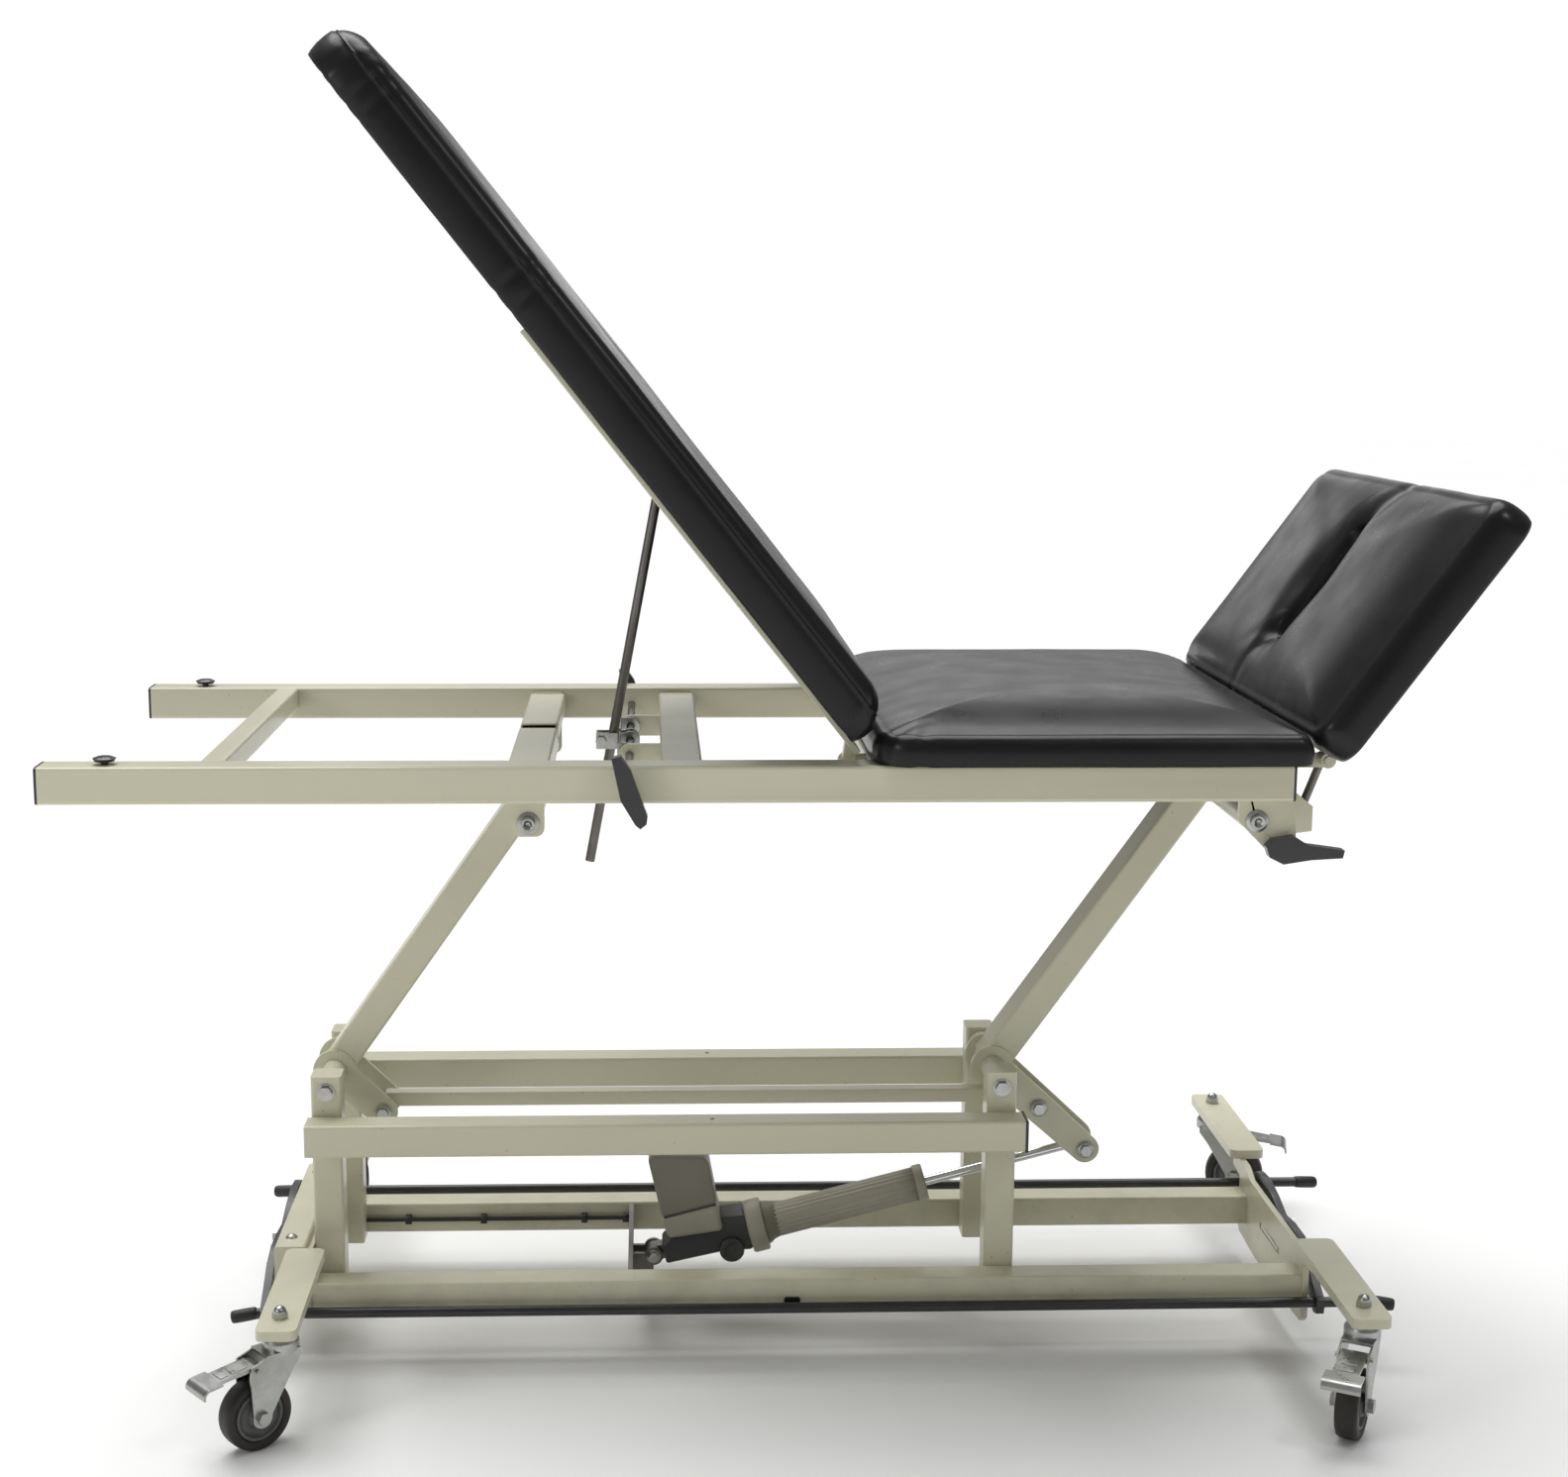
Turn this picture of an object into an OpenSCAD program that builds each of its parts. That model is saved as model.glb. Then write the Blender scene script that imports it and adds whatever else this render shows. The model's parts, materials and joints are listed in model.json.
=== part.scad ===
// Three-section height-adjustable treatment couch on four braked castors. Lengths are in millimetres.
// X runs along the couch towards the head end, Y across it and Z up. The floor is Z = 0.

/* [Top frame] */
// Length of each long rail of the top frame
rail_length = 1400; // [1300:5:1500]
// Width of a rail across the couch
rail_width = 45; // [30:1:60]
// Height of a rail
rail_height = 42; // [30:1:60]
// Distance from the middle plane to a rail's inner face
rail_inner = 280; // [240:1:300]
// Height of the rails' top face above the floor
rail_top = 767.5; // [700:0.5:850]

/* [Base] */
// Side of the square base tubes
base_tube = 40; // [30:1:50]
// Distance from the middle plane to a base tube's inner face
base_inner = 115; // [90:1:150]
// Height of the lower base tubes' centre line
lower_tube_z = 75.7; // [60:0.1:100]
// Height of the upper base tubes' centre line
upper_tube_z = 276; // [240:1:300]
// Side of the square posts
post_side = 37; // [30:1:45]
// Wall of the square tubes
tube_wall = 2.5; // [1.5:0.5:4]

/* [Lift] */
// Distance between a lift arm's two pivots
arm_length = 450; // [400:1:500]
// Angle of the lift arms above level as the couch stands
arm_angle = 54.9; // [30:0.1:70]
// Distance between the two arms' lower pivots
pivot_spacing = 830; // [760:1:900]
// Height of the lower pivots
pivot_height = 326.5; // [300:0.5:350]
// Place of the foot arm's lower pivot along X
foot_pivot_x = -544; // [-580:1:-500]
// Angle from an arm to its crank, towards the head end and down
crank_turn = 97.1; // [80:0.1:120]
// Distance from the lower pivot to the tie bar's pivot
tie_radius = 81; // [70:1:110]
// Distance from the lower pivot to the actuator's eye
eye_radius = 164; // [150:1:200]

/* [Cushions] */
// Width of the cushions
pad_width = 686; // [600:2:760]
// Length of the long section's cushion
long_pad_length = 949; // [850:1:1000]
// Thickness of the long section's cushion
long_pad_thickness = 62; // [50:1:80]
// Angle of the long section above level as the couch stands
long_angle = 51.5; // [0:0.5:60]
// Angle of the head section above level as the couch stands
head_angle = 54; // [0:0.5:60]
// Length of the head section's cushion
head_pad_length = 338; // [300:1:400]

/* [Castors] */
// Radius of a castor wheel
wheel_radius = 41; // [35:0.5:55]
// Width of a castor wheel
wheel_width = 26; // [20:1:34]
// Distance from the swivel axis to the wheel axle
castor_trail = 35; // [25:1:45]
// Distance from the middle plane to the castors' swivel axes
castor_y = 366.5; // [330:0.5:400]

/* [Hidden] */
frame_start = -824;
frame_end = frame_start + rail_length;
rail_mid_y = rail_inner + rail_width / 2;
rail_mid_z = rail_top - rail_height / 2;
rail_bottom = rail_top - rail_height;
cap_thickness = 3;
tube_corner = 4;
base_mid_y = base_inner + base_tube / 2;
post_mid_y = base_inner - post_side / 2;
post_bottom = lower_tube_z - base_tube / 2;
post_top = pivot_height + 19;
head_pivot_x = foot_pivot_x + pivot_spacing;
arm_rise = arm_length * sin(arm_angle);
arm_reach = arm_length * cos(arm_angle);
top_pivot_z = pivot_height + arm_rise;
foot_top_x = foot_pivot_x + arm_reach;
head_top_x = head_pivot_x + arm_reach;
crank_angle = arm_angle - crank_turn;
pin_radius = 8;
pin_bore = 8.05;
plate_start = -569;
tube_start = foot_pivot_x - post_side / 2;
tube_end = 659;
head_plate_end = 667;
outrigger_top = 144.4;
outrigger_thickness = 12;
outrigger_width = 46;
outrigger_inner = 160;
outrigger_outer = 405;
foot_castor_x = -566;
head_castor_x = 669.5;
stem_radius = 5;
stem_bore = 5.05;
foot_bar_z = 100;
foot_bar_tilt = 4.8;
foot_bar_y = 172;
foot_bar_drop = 20.5;
foot_bar_radius = 6.5;
clevis_x = -143.8;
clevis_z = 72;
actuator_angle = 14.67;
rod_eye_distance = 569.9;
long_pivot_x = 78;
long_pivot_z = 756.5;
long_pad_start = 25;
long_pad_bottom = 21.5;
prop_pin_s = 362;
prop_pin_n = 12;
prop_length = 466;
prop_radius = 6;
lock_x = -172;
lock_z = 743.5;
lock_offset = 22;
head_hinge_x = 632;
head_hinge_z = 759.5;
head_pad_start = 5;
head_pad_bottom = 8;
head_pad_top = 74;
head_rod_y = -160;
head_rod_s = 72;
head_rod_n = 0;
head_rod_angle = 69.6;
head_rod_length = 177;
release_x = 572;
release_z = 668.5;
bracket_inner = 272;
pad_half = pad_width / 2;
near = -1;
far = 1;

cream = [0.83, 0.81, 0.73];
black = [0.05, 0.05, 0.05];
vinyl = [0.08, 0.08, 0.08];
steel = [0.42, 0.41, 0.39];
zinc = [0.72, 0.73, 0.74];
chrome = [0.85, 0.86, 0.87];
grey = [0.55, 0.56, 0.55];
taupe = [0.58, 0.56, 0.50];
rubber = [0.12, 0.10, 0.09];

// Rectangle of a by b with rounded corners, centred
module round_rect(a, b, r) {
    square([a - 2 * r, b], center = true);
    square([a, b - 2 * r], center = true);
    for (sx = [-1, 1], sy = [-1, 1]) {
        translate([sx * (a / 2 - r), sy * (b / 2 - r)]) circle(r, $fn = 24);
    }
}

// Wall section of a tube of a by b
module tube_section(a, b) {
    difference() {
        round_rect(a, b, tube_corner);
        round_rect(a - 2 * tube_wall, b - 2 * tube_wall, tube_corner - tube_wall);
    }
}

// Tube from x0 to x1 with its centre line at y, z
module tube_x(x0, x1, y, z, a, b) {
    translate([x0, y, z]) rotate([90, 0, 90]) linear_extrude(x1 - x0) tube_section(a, b);
}

// Tube from y0 to y1 with its centre line at x, z
module tube_y(y0, y1, x, z, a, b) {
    translate([x, y1, z]) rotate([90, 0, 0]) linear_extrude(y1 - y0) tube_section(a, b);
}

// Closing plate over one end of a tube that runs along X
module end_x(x0, thickness, y, z, a, b) {
    translate([x0, y, z]) rotate([90, 0, 90]) linear_extrude(thickness) round_rect(a, b, tube_corner);
}

// Box between two opposite corners
module box(low, high) {
    translate(low) cube([high[0] - low[0], high[1] - low[1], high[2] - low[2]]);
}

// Round bar along Y
module bar_y(x, z, y0, y1, r, sides = 48) {
    translate([x, y1, z]) rotate([90, 0, 0]) cylinder(r = r, h = y1 - y0, $fn = sides);
}

// Round bar along X
module bar_x(x0, x1, y, z, r, sides = 32) {
    translate([x0, y, z]) rotate([0, 90, 0]) cylinder(r = r, h = x1 - x0, $fn = sides);
}

// Hexagonal head along Y, growing towards the given side
module hex_y(x, z, y, r, h, side) {
    translate([x, y, z]) rotate([side > 0 ? -90 : 90, 0, 0]) cylinder(r = r, h = h, $fn = 6);
}

// Moves local places along the long section to where it stands: X is minus the distance from the hinge
module place_long() {
    translate([long_pivot_x, 0, long_pivot_z]) rotate([0, long_angle, 0]) children();
}

// Moves local places along the head section to where it stands
module place_head() {
    translate([head_hinge_x, 0, head_hinge_z]) rotate([0, -head_angle, 0]) children();
}

// Outline in X and Z, extruded across Y between y0 and y1
module across(y0, y1) {
    translate([0, y1, 0]) rotate([90, 0, 0]) linear_extrude(y1 - y0) children();
}

// Outline in Y and Z, extruded along X between x0 and x1
module along(x0, x1) {
    translate([x0, 0, 0]) rotate([90, 0, 90]) linear_extrude(x1 - x0) children();
}

// ---- Base ----

module lower_tube(side) {
    color(cream) tube_x(tube_start, tube_end, side * base_mid_y, lower_tube_z, base_tube, base_tube);
}

module lower_tube_near() {
    lower_tube(near);
}

module lower_tube_far() {
    lower_tube(far);
}

upper_start = -566;
upper_end = 310;
module upper_tube(side) {
    color(cream) {
        difference() {
            tube_x(upper_start, upper_end, side * base_mid_y, upper_tube_z, base_tube, base_tube);
            translate([-72, side * base_mid_y, upper_tube_z]) cylinder(r = 3, h = base_tube, $fn = 24);
        }
        end_x(upper_start, tube_wall, side * base_mid_y, upper_tube_z, base_tube, base_tube);
        end_x(upper_end - cap_thickness, cap_thickness, side * base_mid_y, upper_tube_z, base_tube, base_tube);
    }
}

module upper_tube_near() {
    upper_tube(near);
}

module upper_tube_far() {
    upper_tube(far);
}

module posts(x) {
    color(cream) for (side = [near, far]) {
        difference() {
            union() {
                translate([x, side * post_mid_y, post_bottom]) {
                    linear_extrude(post_top - post_bottom) tube_section(post_side, post_side);
                }
                translate([x, side * post_mid_y, post_top - tube_wall]) {
                    linear_extrude(tube_wall) round_rect(post_side, post_side, tube_corner);
                }
                bar_y(x, pivot_height, side * post_mid_y - post_side / 2 + 1, side * post_mid_y + post_side / 2 - 1, 12);
            }
            bar_y(x, pivot_height, side * post_mid_y - post_side, side * post_mid_y + post_side, pin_bore);
        }
    }
}

module posts_foot() {
    posts(foot_pivot_x);
}

module posts_head() {
    posts(head_pivot_x);
}

foot_box_half = 148;
foot_box_bottom = 81.5;
foot_box_top = 141.5;
foot_box_start = -607;
foot_plate_half = 195;
module end_plate_foot() {
    foot_box_x = (foot_box_start + plate_start) / 2;
    foot_box_z = (foot_box_bottom + foot_box_top) / 2;
    foot_box_depth = plate_start - foot_box_start;
    foot_box_height = foot_box_top - foot_box_bottom;
    color(cream) {
        tube_y(-foot_box_half, foot_box_half, foot_box_x, foot_box_z, foot_box_depth, foot_box_height);
        for (y = [-foot_box_half, foot_box_half - tube_wall]) {
            translate([foot_box_x, y + tube_wall, foot_box_z]) rotate([90, 0, 0]) {
                linear_extrude(tube_wall) round_rect(foot_box_depth, foot_box_height, tube_corner);
            }
        }
        along(plate_start, tube_start) polygon([
            [-foot_plate_half, 114], [-158, 110], [-158, 62], [-152, 56], [152, 56], [158, 62], [158, 110],
            [foot_plate_half, 114], [foot_plate_half, 132.4], [-foot_plate_half, 132.4]
        ]);
    }
}

module end_plate_head() {
    color(cream) along(tube_end, head_plate_end) difference() {
        polygon([
            [-foot_plate_half, 114], [-158, 110], [-158, 40], [-150, 33], [-70, 28], [70, 28], [150, 33], [158, 40],
            [158, 110], [foot_plate_half, 114], [foot_plate_half, 132.4], [135, 132.4], [105, 122], [-105, 122], [-135, 132.4], [-foot_plate_half, 132.4]
        ]);
        for (y = [-45, 45]) {
            translate([y, 82]) circle(4, $fn = 24);
        }
    }
}

module outrigger(x, side) {
    mid_y = side * (outrigger_inner + outrigger_outer) / 2;
    color(cream) difference() {
        translate([x, mid_y, outrigger_top - outrigger_thickness]) linear_extrude(outrigger_thickness) {
            round_rect(outrigger_width, outrigger_outer - outrigger_inner, 9);
        }
        translate([x, side * castor_y, 100]) cylinder(r = stem_bore, h = 60, $fn = 48);
    }
}

module outrigger_foot_near() {
    outrigger(foot_castor_x, near);
}

module outrigger_foot_far() {
    outrigger(foot_castor_x, far);
}

module outrigger_head_near() {
    outrigger(head_castor_x, near);
}

module outrigger_head_far() {
    outrigger(head_castor_x, far);
}

// Castor stem with its domed nut, washer and lower retaining head
module castor_stem(x, side) {
    translate([x, side * castor_y, 0]) {
        translate([0, 0, 102.5]) cylinder(r = stem_radius, h = 43, $fn = 48);
        translate([0, 0, outrigger_top]) cylinder(r = 9, h = 7, $fn = 6);
        translate([0, 0, outrigger_top + 7]) intersection() {
            sphere(7.6, $fn = 32);
            cylinder(r = 8, h = 8, $fn = 32);
        }
        translate([0, 0, 102.5]) cylinder(r = 9, h = 5, $fn = 6);
        translate([0, 0, 129]) cylinder(r = 15, h = 3.4, $fn = 48);
    }
}

module base_fasteners() {
    color(zinc) {
        for (side = [near, far]) {
            castor_stem(foot_castor_x, side);
            castor_stem(head_castor_x, side);
            for (x = [foot_pivot_x, head_pivot_x]) {
                bar_y(x, pivot_height, side > 0 ? base_inner : -base_inner - 2, side > 0 ? base_inner + 2 : -base_inner, 11);
                hex_y(x, pivot_height, side * (base_inner + 2), 9, 6, side);
            }
            translate([-590, side * 116, foot_box_top]) intersection() {
                translate([0, 0, -4]) sphere(8.5, $fn = 32);
                cylinder(r = 8, h = 6, $fn = 32);
            }
        }
        // Pivot bolts of the foot bars
        bar_x(head_plate_end, 684, 0, foot_bar_z, 6, 48);
        bar_x(684, 692, 0, foot_bar_z, 9, 6);
        bar_x(-624, foot_box_start, 0, foot_bar_z, 6, 48);
        bar_x(-632, -624, 0, foot_bar_z, 9, 6);
    }
}

// Cross plate and lugs that carry the actuator's lower end
module actuator_mount() {
    color(steel) difference() {
        union() {
            box([-176, -base_inner, 56.5], [-170, base_inner, 94]);
            for (side = [near, far]) {
                across(side * 14.5 - 3, side * 14.5 + 3) difference() {
                    union() {
                        translate([-172, 52]) square([28, 24]);
                        translate([clevis_x, clevis_z]) circle(12, $fn = 48);
                    }
                    translate([clevis_x, clevis_z]) circle(5.05, $fn = 48);
                }
            }
        }
        bar_y(clevis_x, clevis_z, -30, 30, 5.05);
    }
}

cable_z = 76;
cable_y = 109.5;
module actuator_cable() {
    color(black) {
        bar_x(foot_pivot_x + post_side / 2, -185, cable_y, cable_z, 3, 24);
        bar_x(-185, -176, cable_y - 1, cable_z, 6, 32);
        for (x = [-470, -370, -236]) {
            box([x - 4, cable_y - 5, cable_z - 5], [x + 4, base_inner, cable_z + 5]);
        }
    }
}

// ---- Foot bars ----

module place_foot_bars() {
    translate([0, 0, foot_bar_z]) rotate([foot_bar_tilt, 0, 0]) children();
}

bar_end_x0 = -657;
bar_end_x1 = 770;
bar_straight_x0 = -632;
bar_straight_x1 = 745;
// Rod along X with both ends bent outwards, in the foot bars' own place
module foot_bar(side) {
    bend = 10;
    color(black) place_foot_bars() {
        y = side * foot_bar_y;
        bar_x(bar_straight_x0, bar_straight_x1, y, -foot_bar_drop, foot_bar_radius);
        for (x = [bar_straight_x0, bar_straight_x1]) {
            translate([x, y, -foot_bar_drop]) sphere(foot_bar_radius + 0.3, $fn = 32);
        }
        translate([bar_straight_x0, y, -foot_bar_drop]) rotate([0, 0, -side * bend]) {
            rotate([0, -96, 0]) cylinder(r = foot_bar_radius, h = 25, $fn = 32);
        }
        translate([bar_straight_x1, y, -foot_bar_drop]) rotate([0, 0, side * bend]) {
            rotate([0, 96, 0]) cylinder(r = foot_bar_radius, h = 25, $fn = 32);
        }
    }
}

module foot_bar_near() {
    foot_bar(near);
}

module foot_bar_far() {
    foot_bar(far);
}

// Gull-wing arm that carries both bars at one end of the base
module foot_bar_arm(x0, x1) {
    color(black) place_foot_bars() along(x0, x1) difference() {
        union() {
            circle(14, $fn = 48);
            for (m = [0, 1]) mirror([m, 0]) {
                polygon([
                    [0, -14], [40, -4], [84, 2], [118, -6], [148, -24], [foot_bar_y, -34],
                    [184, -30], [184, -12], [150, 4], [120, 20], [85, 26], [40, 22], [0, 14]
                ]);
                translate([foot_bar_y, -foot_bar_drop]) circle(13, $fn = 48);
            }
        }
        circle(6.05, $fn = 48);
        for (side = [near, far]) {
            translate([side * foot_bar_y, -foot_bar_drop]) circle(foot_bar_radius, $fn = 32);
        }
    }
}

module foot_bar_arm_foot() {
    foot_bar_arm(-621, -611);
}

module foot_bar_arm_head() {
    foot_bar_arm(671, 681);
}

// ---- Castors ----

module place_castor(x, side, turn) {
    translate([x, side * castor_y, 0]) rotate([0, 0, turn]) children();
}

foot_near_turn = 218;
foot_far_turn = 119;
head_near_turn = 241;
head_far_turn = 345;
leg_inner = 16;
leg_outer = 18.5;
pedal_x = 40;
pedal_z = 98;

// Swivel housing, two tapered legs and the axle, trailing towards local X
module castor_fork(x, side, turn) {
    color(zinc) place_castor(x, side, turn) {
        difference() {
            union() {
                translate([0, 0, 112]) cylinder(r = 21, h = 7, $fn = 64);
                translate([0, 0, 119]) cylinder(r1 = 21, r2 = 15, h = 9.6, $fn = 64);
                translate([0, 0, 108]) linear_extrude(4) {
                    circle(21, $fn = 64);
                    translate([-16, -leg_outer]) square([44, 2 * leg_outer]);
                }
                for (y = [-leg_outer, leg_inner]) {
                    across(y, y + leg_outer - leg_inner) {
                        polygon([
                            [-16, 110], [28, 110], [47, 103], [49, 90], [46, 41], [24, 41], [-4, 88], [-16, 104]
                        ]);
                        translate([castor_trail, wheel_radius]) circle(12, $fn = 48);
                    }
                }
                bar_y(castor_trail, wheel_radius, -leg_outer - 1, leg_outer + 1, 4);
                hex_y(castor_trail, wheel_radius, leg_outer, 8, 6, 1);
                hex_y(castor_trail, wheel_radius, -leg_outer, 8, 6, -1);
            }
            translate([0, 0, 80]) cylinder(r = stem_bore, h = 60, $fn = 48);
            bar_y(pedal_x, pedal_z, -30, 30, 2.55, 24);
        }
    }
}

module castor_wheel(x, side, turn) {
    color(rubber) place_castor(x, side, turn) {
        translate([castor_trail, 0, wheel_radius]) rotate([90, 0, 0]) rotate_extrude($fn = 96) {
            difference() {
                union() {
                    translate([0, -wheel_width / 2 + 3]) square([wheel_radius, wheel_width - 6]);
                    translate([0, -wheel_width / 2]) square([wheel_radius - 3, wheel_width]);
                    for (s = [-1, 1]) {
                        translate([wheel_radius - 3, s * (wheel_width / 2 - 3)]) circle(3, $fn = 24);
                    }
                    translate([0, -leg_inner + 0.4]) square([10, 2 * leg_inner - 0.8]);
                }
                translate([-1, -20]) square([5.05, 40]);
                for (s = [-1, 1]) {
                    translate([12, s > 0 ? wheel_width / 2 - 2.5 : -wheel_width / 2 - 1]) square([17, 3.5]);
                }
            }
        }
    }
}

// Brake pedal: a flat tread with a curled tip, hinged on a pin through the fork's legs
module castor_pedal(x, side, turn) {
    color(zinc) place_castor(x, side, turn) {
        translate([pedal_x, 0, pedal_z]) {
            across(-15, 15) {
                difference() {
                    union() {
                        circle(5, $fn = 32);
                        polygon([[-9, 4], [0, 5], [58, -3], [58, -5.5], [0, 0], [-9, 1.5]]);
                    }
                }
            }
            bar_y(0, 0, -leg_outer - 3, leg_outer + 3, 2.5, 24);
            across(-22, 22) {
                polygon([[44, -1.1], [58, -3], [58, -5.5], [44, -3.6]]);
                translate([58, -13]) intersection() {
                    difference() {
                        circle(10, $fn = 48);
                        circle(7.6, $fn = 48);
                    }
                    translate([0, -2]) square([12, 13]);
                }
            }
        }
    }
}

module castor_fork_foot_near() {
    castor_fork(foot_castor_x, near, foot_near_turn);
}

module castor_wheel_foot_near() {
    castor_wheel(foot_castor_x, near, foot_near_turn);
}

module castor_pedal_foot_near() {
    castor_pedal(foot_castor_x, near, foot_near_turn);
}

module castor_fork_foot_far() {
    castor_fork(foot_castor_x, far, foot_far_turn);
}

module castor_wheel_foot_far() {
    castor_wheel(foot_castor_x, far, foot_far_turn);
}

module castor_pedal_foot_far() {
    castor_pedal(foot_castor_x, far, foot_far_turn);
}

module castor_fork_head_near() {
    castor_fork(head_castor_x, near, head_near_turn);
}

module castor_wheel_head_near() {
    castor_wheel(head_castor_x, near, head_near_turn);
}

module castor_pedal_head_near() {
    castor_pedal(head_castor_x, near, head_near_turn);
}

module castor_fork_head_far() {
    castor_fork(head_castor_x, far, head_far_turn);
}

module castor_wheel_head_far() {
    castor_wheel(head_castor_x, far, head_far_turn);
}

module castor_pedal_head_far() {
    castor_pedal(head_castor_x, far, head_far_turn);
}

// ---- Lift ----

arm_depth = 38;
arm_width = 56;
cheek_inner = 25;
cheek_outer = 31;
cross_radius = 15;
// Box arm with a cross tube and pins at both ends, and a two-cheek crank below
module lift_arm(x, crank_length, cross_half_top) {
    color(cream) {
        translate([x, 0, pivot_height]) rotate([0, -arm_angle, 0]) {
            tube_x(0, arm_length, 0, 0, arm_width, arm_depth);
        }
        bar_y(x, pivot_height, -post_mid_y + post_side / 2 + 1, post_mid_y - post_side / 2 - 1, cross_radius);
        bar_y(x, pivot_height, -base_inner + 0.3, base_inner - 0.3, pin_radius);
        bar_y(x + arm_reach, top_pivot_z, -cross_half_top, cross_half_top, cross_radius);
        bar_y(x + arm_reach, top_pivot_z, -rail_inner, rail_inner, pin_radius);
        for (side = [near, far]) {
            y0 = side > 0 ? cheek_inner : -cheek_outer;
            y1 = side > 0 ? cheek_outer : -cheek_inner;
            translate([x, 0, pivot_height]) rotate([0, -crank_angle, 0]) across(y0, y1) {
                circle(27, $fn = 64);
                translate([crank_length, 0]) circle(18, $fn = 64);
                polygon([[0, -21], [crank_length, -18], [crank_length, 18], [0, 21]]);
            }
        }
        translate([x, 0, pivot_height]) rotate([0, -crank_angle, 0]) {
            bar_y(tie_radius, 0, -cheek_outer - 4, cheek_outer + 4, 6);
        }
    }
}

module lift_arm_foot() {
    lift_arm(foot_pivot_x, tie_radius, 271);
}

module lift_arm_head() {
    lift_arm(head_pivot_x, eye_radius, 271);
}

tie_x = tie_radius * cos(crank_angle);
tie_z = pivot_height + tie_radius * sin(crank_angle);
module tie_bar() {
    color(cream) translate([0, 0, tie_z]) across(-10, 10) difference() {
        union() {
            translate([foot_pivot_x + tie_x, 1]) square([pivot_spacing, 18]);
            for (x = [foot_pivot_x + tie_x, head_pivot_x + tie_x]) {
                translate([x, 0]) circle(13, $fn = 48);
            }
        }
        for (x = [foot_pivot_x + tie_x, head_pivot_x + tie_x]) {
            translate([x, 0]) circle(6.05, $fn = 48);
        }
    }
}

tube_outer = 21.5;
rod_radius = 6;
rod_bore = 6.05;
rod_start = 300;
// Moves local places along the actuator's axis from its clevis pin
module place_actuator() {
    translate([clevis_x, 0, clevis_z]) rotate([0, -actuator_angle, 0]) children();
}

module actuator_body() {
    color(taupe) place_actuator() difference() {
        union() {
            // Clevis eye and gearbox
            bar_y(0, 0, -11, 11, 11);
            across(-24, 24) polygon([[14, -12], [92, -14], [128, -22], [128, 26], [100, 30], [30, 22], [14, 12]]);
            bar_x(0, 16, 0, 0, 9, 32);
            bar_y(100, -14, -30, 24, 15);
            // Motor housing stands up from the gearbox
            across(-32, 32) polygon([[24, 22], [96, 14], [101, 116], [26, 136]]);
            // Outer tube with its collar and end cap
            bar_x(128, 148, 0, 0, 34, 64);
            bar_x(148, 350, 0, 0, tube_outer, 64);
            bar_x(350, 362, 0, 0, tube_outer + 2, 64);
        }
        bar_y(0, 0, -30, 30, 5.05);
        bar_x(158, 400, 0, 0, rod_bore, 48);
    }
    color(steel) place_actuator() bar_y(0, 0, -19, 19, 5);
}

module actuator_rod() {
    color(chrome) place_actuator() difference() {
        union() {
            bar_x(rod_start, rod_eye_distance, 0, 0, rod_radius, 48);
            bar_y(rod_eye_distance, 0, -13, 13, 13);
            bar_y(rod_eye_distance, 0, -23, 23, 6);
        }
    }
}

// ---- Top frame ----

module rail(side) {
    color(cream) difference() {
        tube_x(frame_start + cap_thickness, frame_end - cap_thickness, side * rail_mid_y, rail_mid_z, rail_width, rail_height);
        bar_y(lock_x, lock_z, side * rail_mid_y - 40, side * rail_mid_y + 40, 5.05);
    }
}

module rail_near() {
    rail(near);
}

module rail_far() {
    rail(far);
}

module cross_tube_end() {
    color(cream) tube_y(-rail_inner, rail_inner, -637, rail_top - 14, 28, 28);
}

plate_top = 761;
module cross_plate_mid() {
    color(cream) difference() {
        tube_y(-bracket_inner, bracket_inner, -285.5, plate_top - 12.5, 47, 25);
        box([-313, -17, 743], [-258, 17, 770]);
    }
}

lug_inner = 105;
lug_outer = 115;
module cross_plate_lock() {
    color(cream) {
        tube_y(-rail_inner, rail_inner, -111.5, plate_top - 12.5, 47, 25);
        for (side = [near, far]) {
            y0 = side > 0 ? lug_inner : -lug_outer;
            y1 = side > 0 ? lug_outer : -lug_inner;
            across(y0, y1) difference() {
                union() {
                    translate([lock_x, lock_z]) circle(13, $fn = 48);
                    translate([lock_x, lock_z - 13]) square([-134.5 - lock_x, 26]);
                }
                translate([lock_x, lock_z]) circle(5.05, $fn = 48);
            }
        }
    }
}

module cross_tube_hinge() {
    color(cream) {
        tube_y(-rail_inner, rail_inner, 120, rail_top - 13, 40, 25);
        for (side = [near, far]) {
            y0 = side > 0 ? 225 : -235;
            y1 = side > 0 ? 235 : -225;
            across(y0, y1) {
                translate([long_pivot_x, long_pivot_z]) circle(10, $fn = 48);
                translate([long_pivot_x, long_pivot_z - 10]) square([23, 18]);
            }
            bar_y(long_pivot_x, long_pivot_z, side > 0 ? 225 : -262, side > 0 ? 262 : -225, 5);
        }
    }
}

module cross_tube_head() {
    color(cream) {
        tube_y(-bracket_inner, bracket_inner, 555, rail_top - 12.5, 36, 25);
        // Hinge lugs of the head section
        for (side = [near, far]) {
            y0 = side > 0 ? 225 : -235;
            y1 = side > 0 ? 235 : -225;
            across(y0, y1) {
                translate([head_hinge_x, head_hinge_z - 2]) circle(9, $fn = 48);
                translate([572, head_hinge_z - 11]) square([head_hinge_x - 572, 16]);
            }
            bar_y(head_hinge_x, head_hinge_z, side > 0 ? 225 : -255, side > 0 ? 255 : -225, 5);
        }
        // Guide plates on both sides of the head section's prop rod
        for (side = [near, far]) {
            y = head_rod_y + side * 10;
            across(y - 2, y + 2) polygon([[540, 744], [573, 744], [640, 690], [640, 660], [600, 655], [540, 725]]);
        }
    }
}

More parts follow.
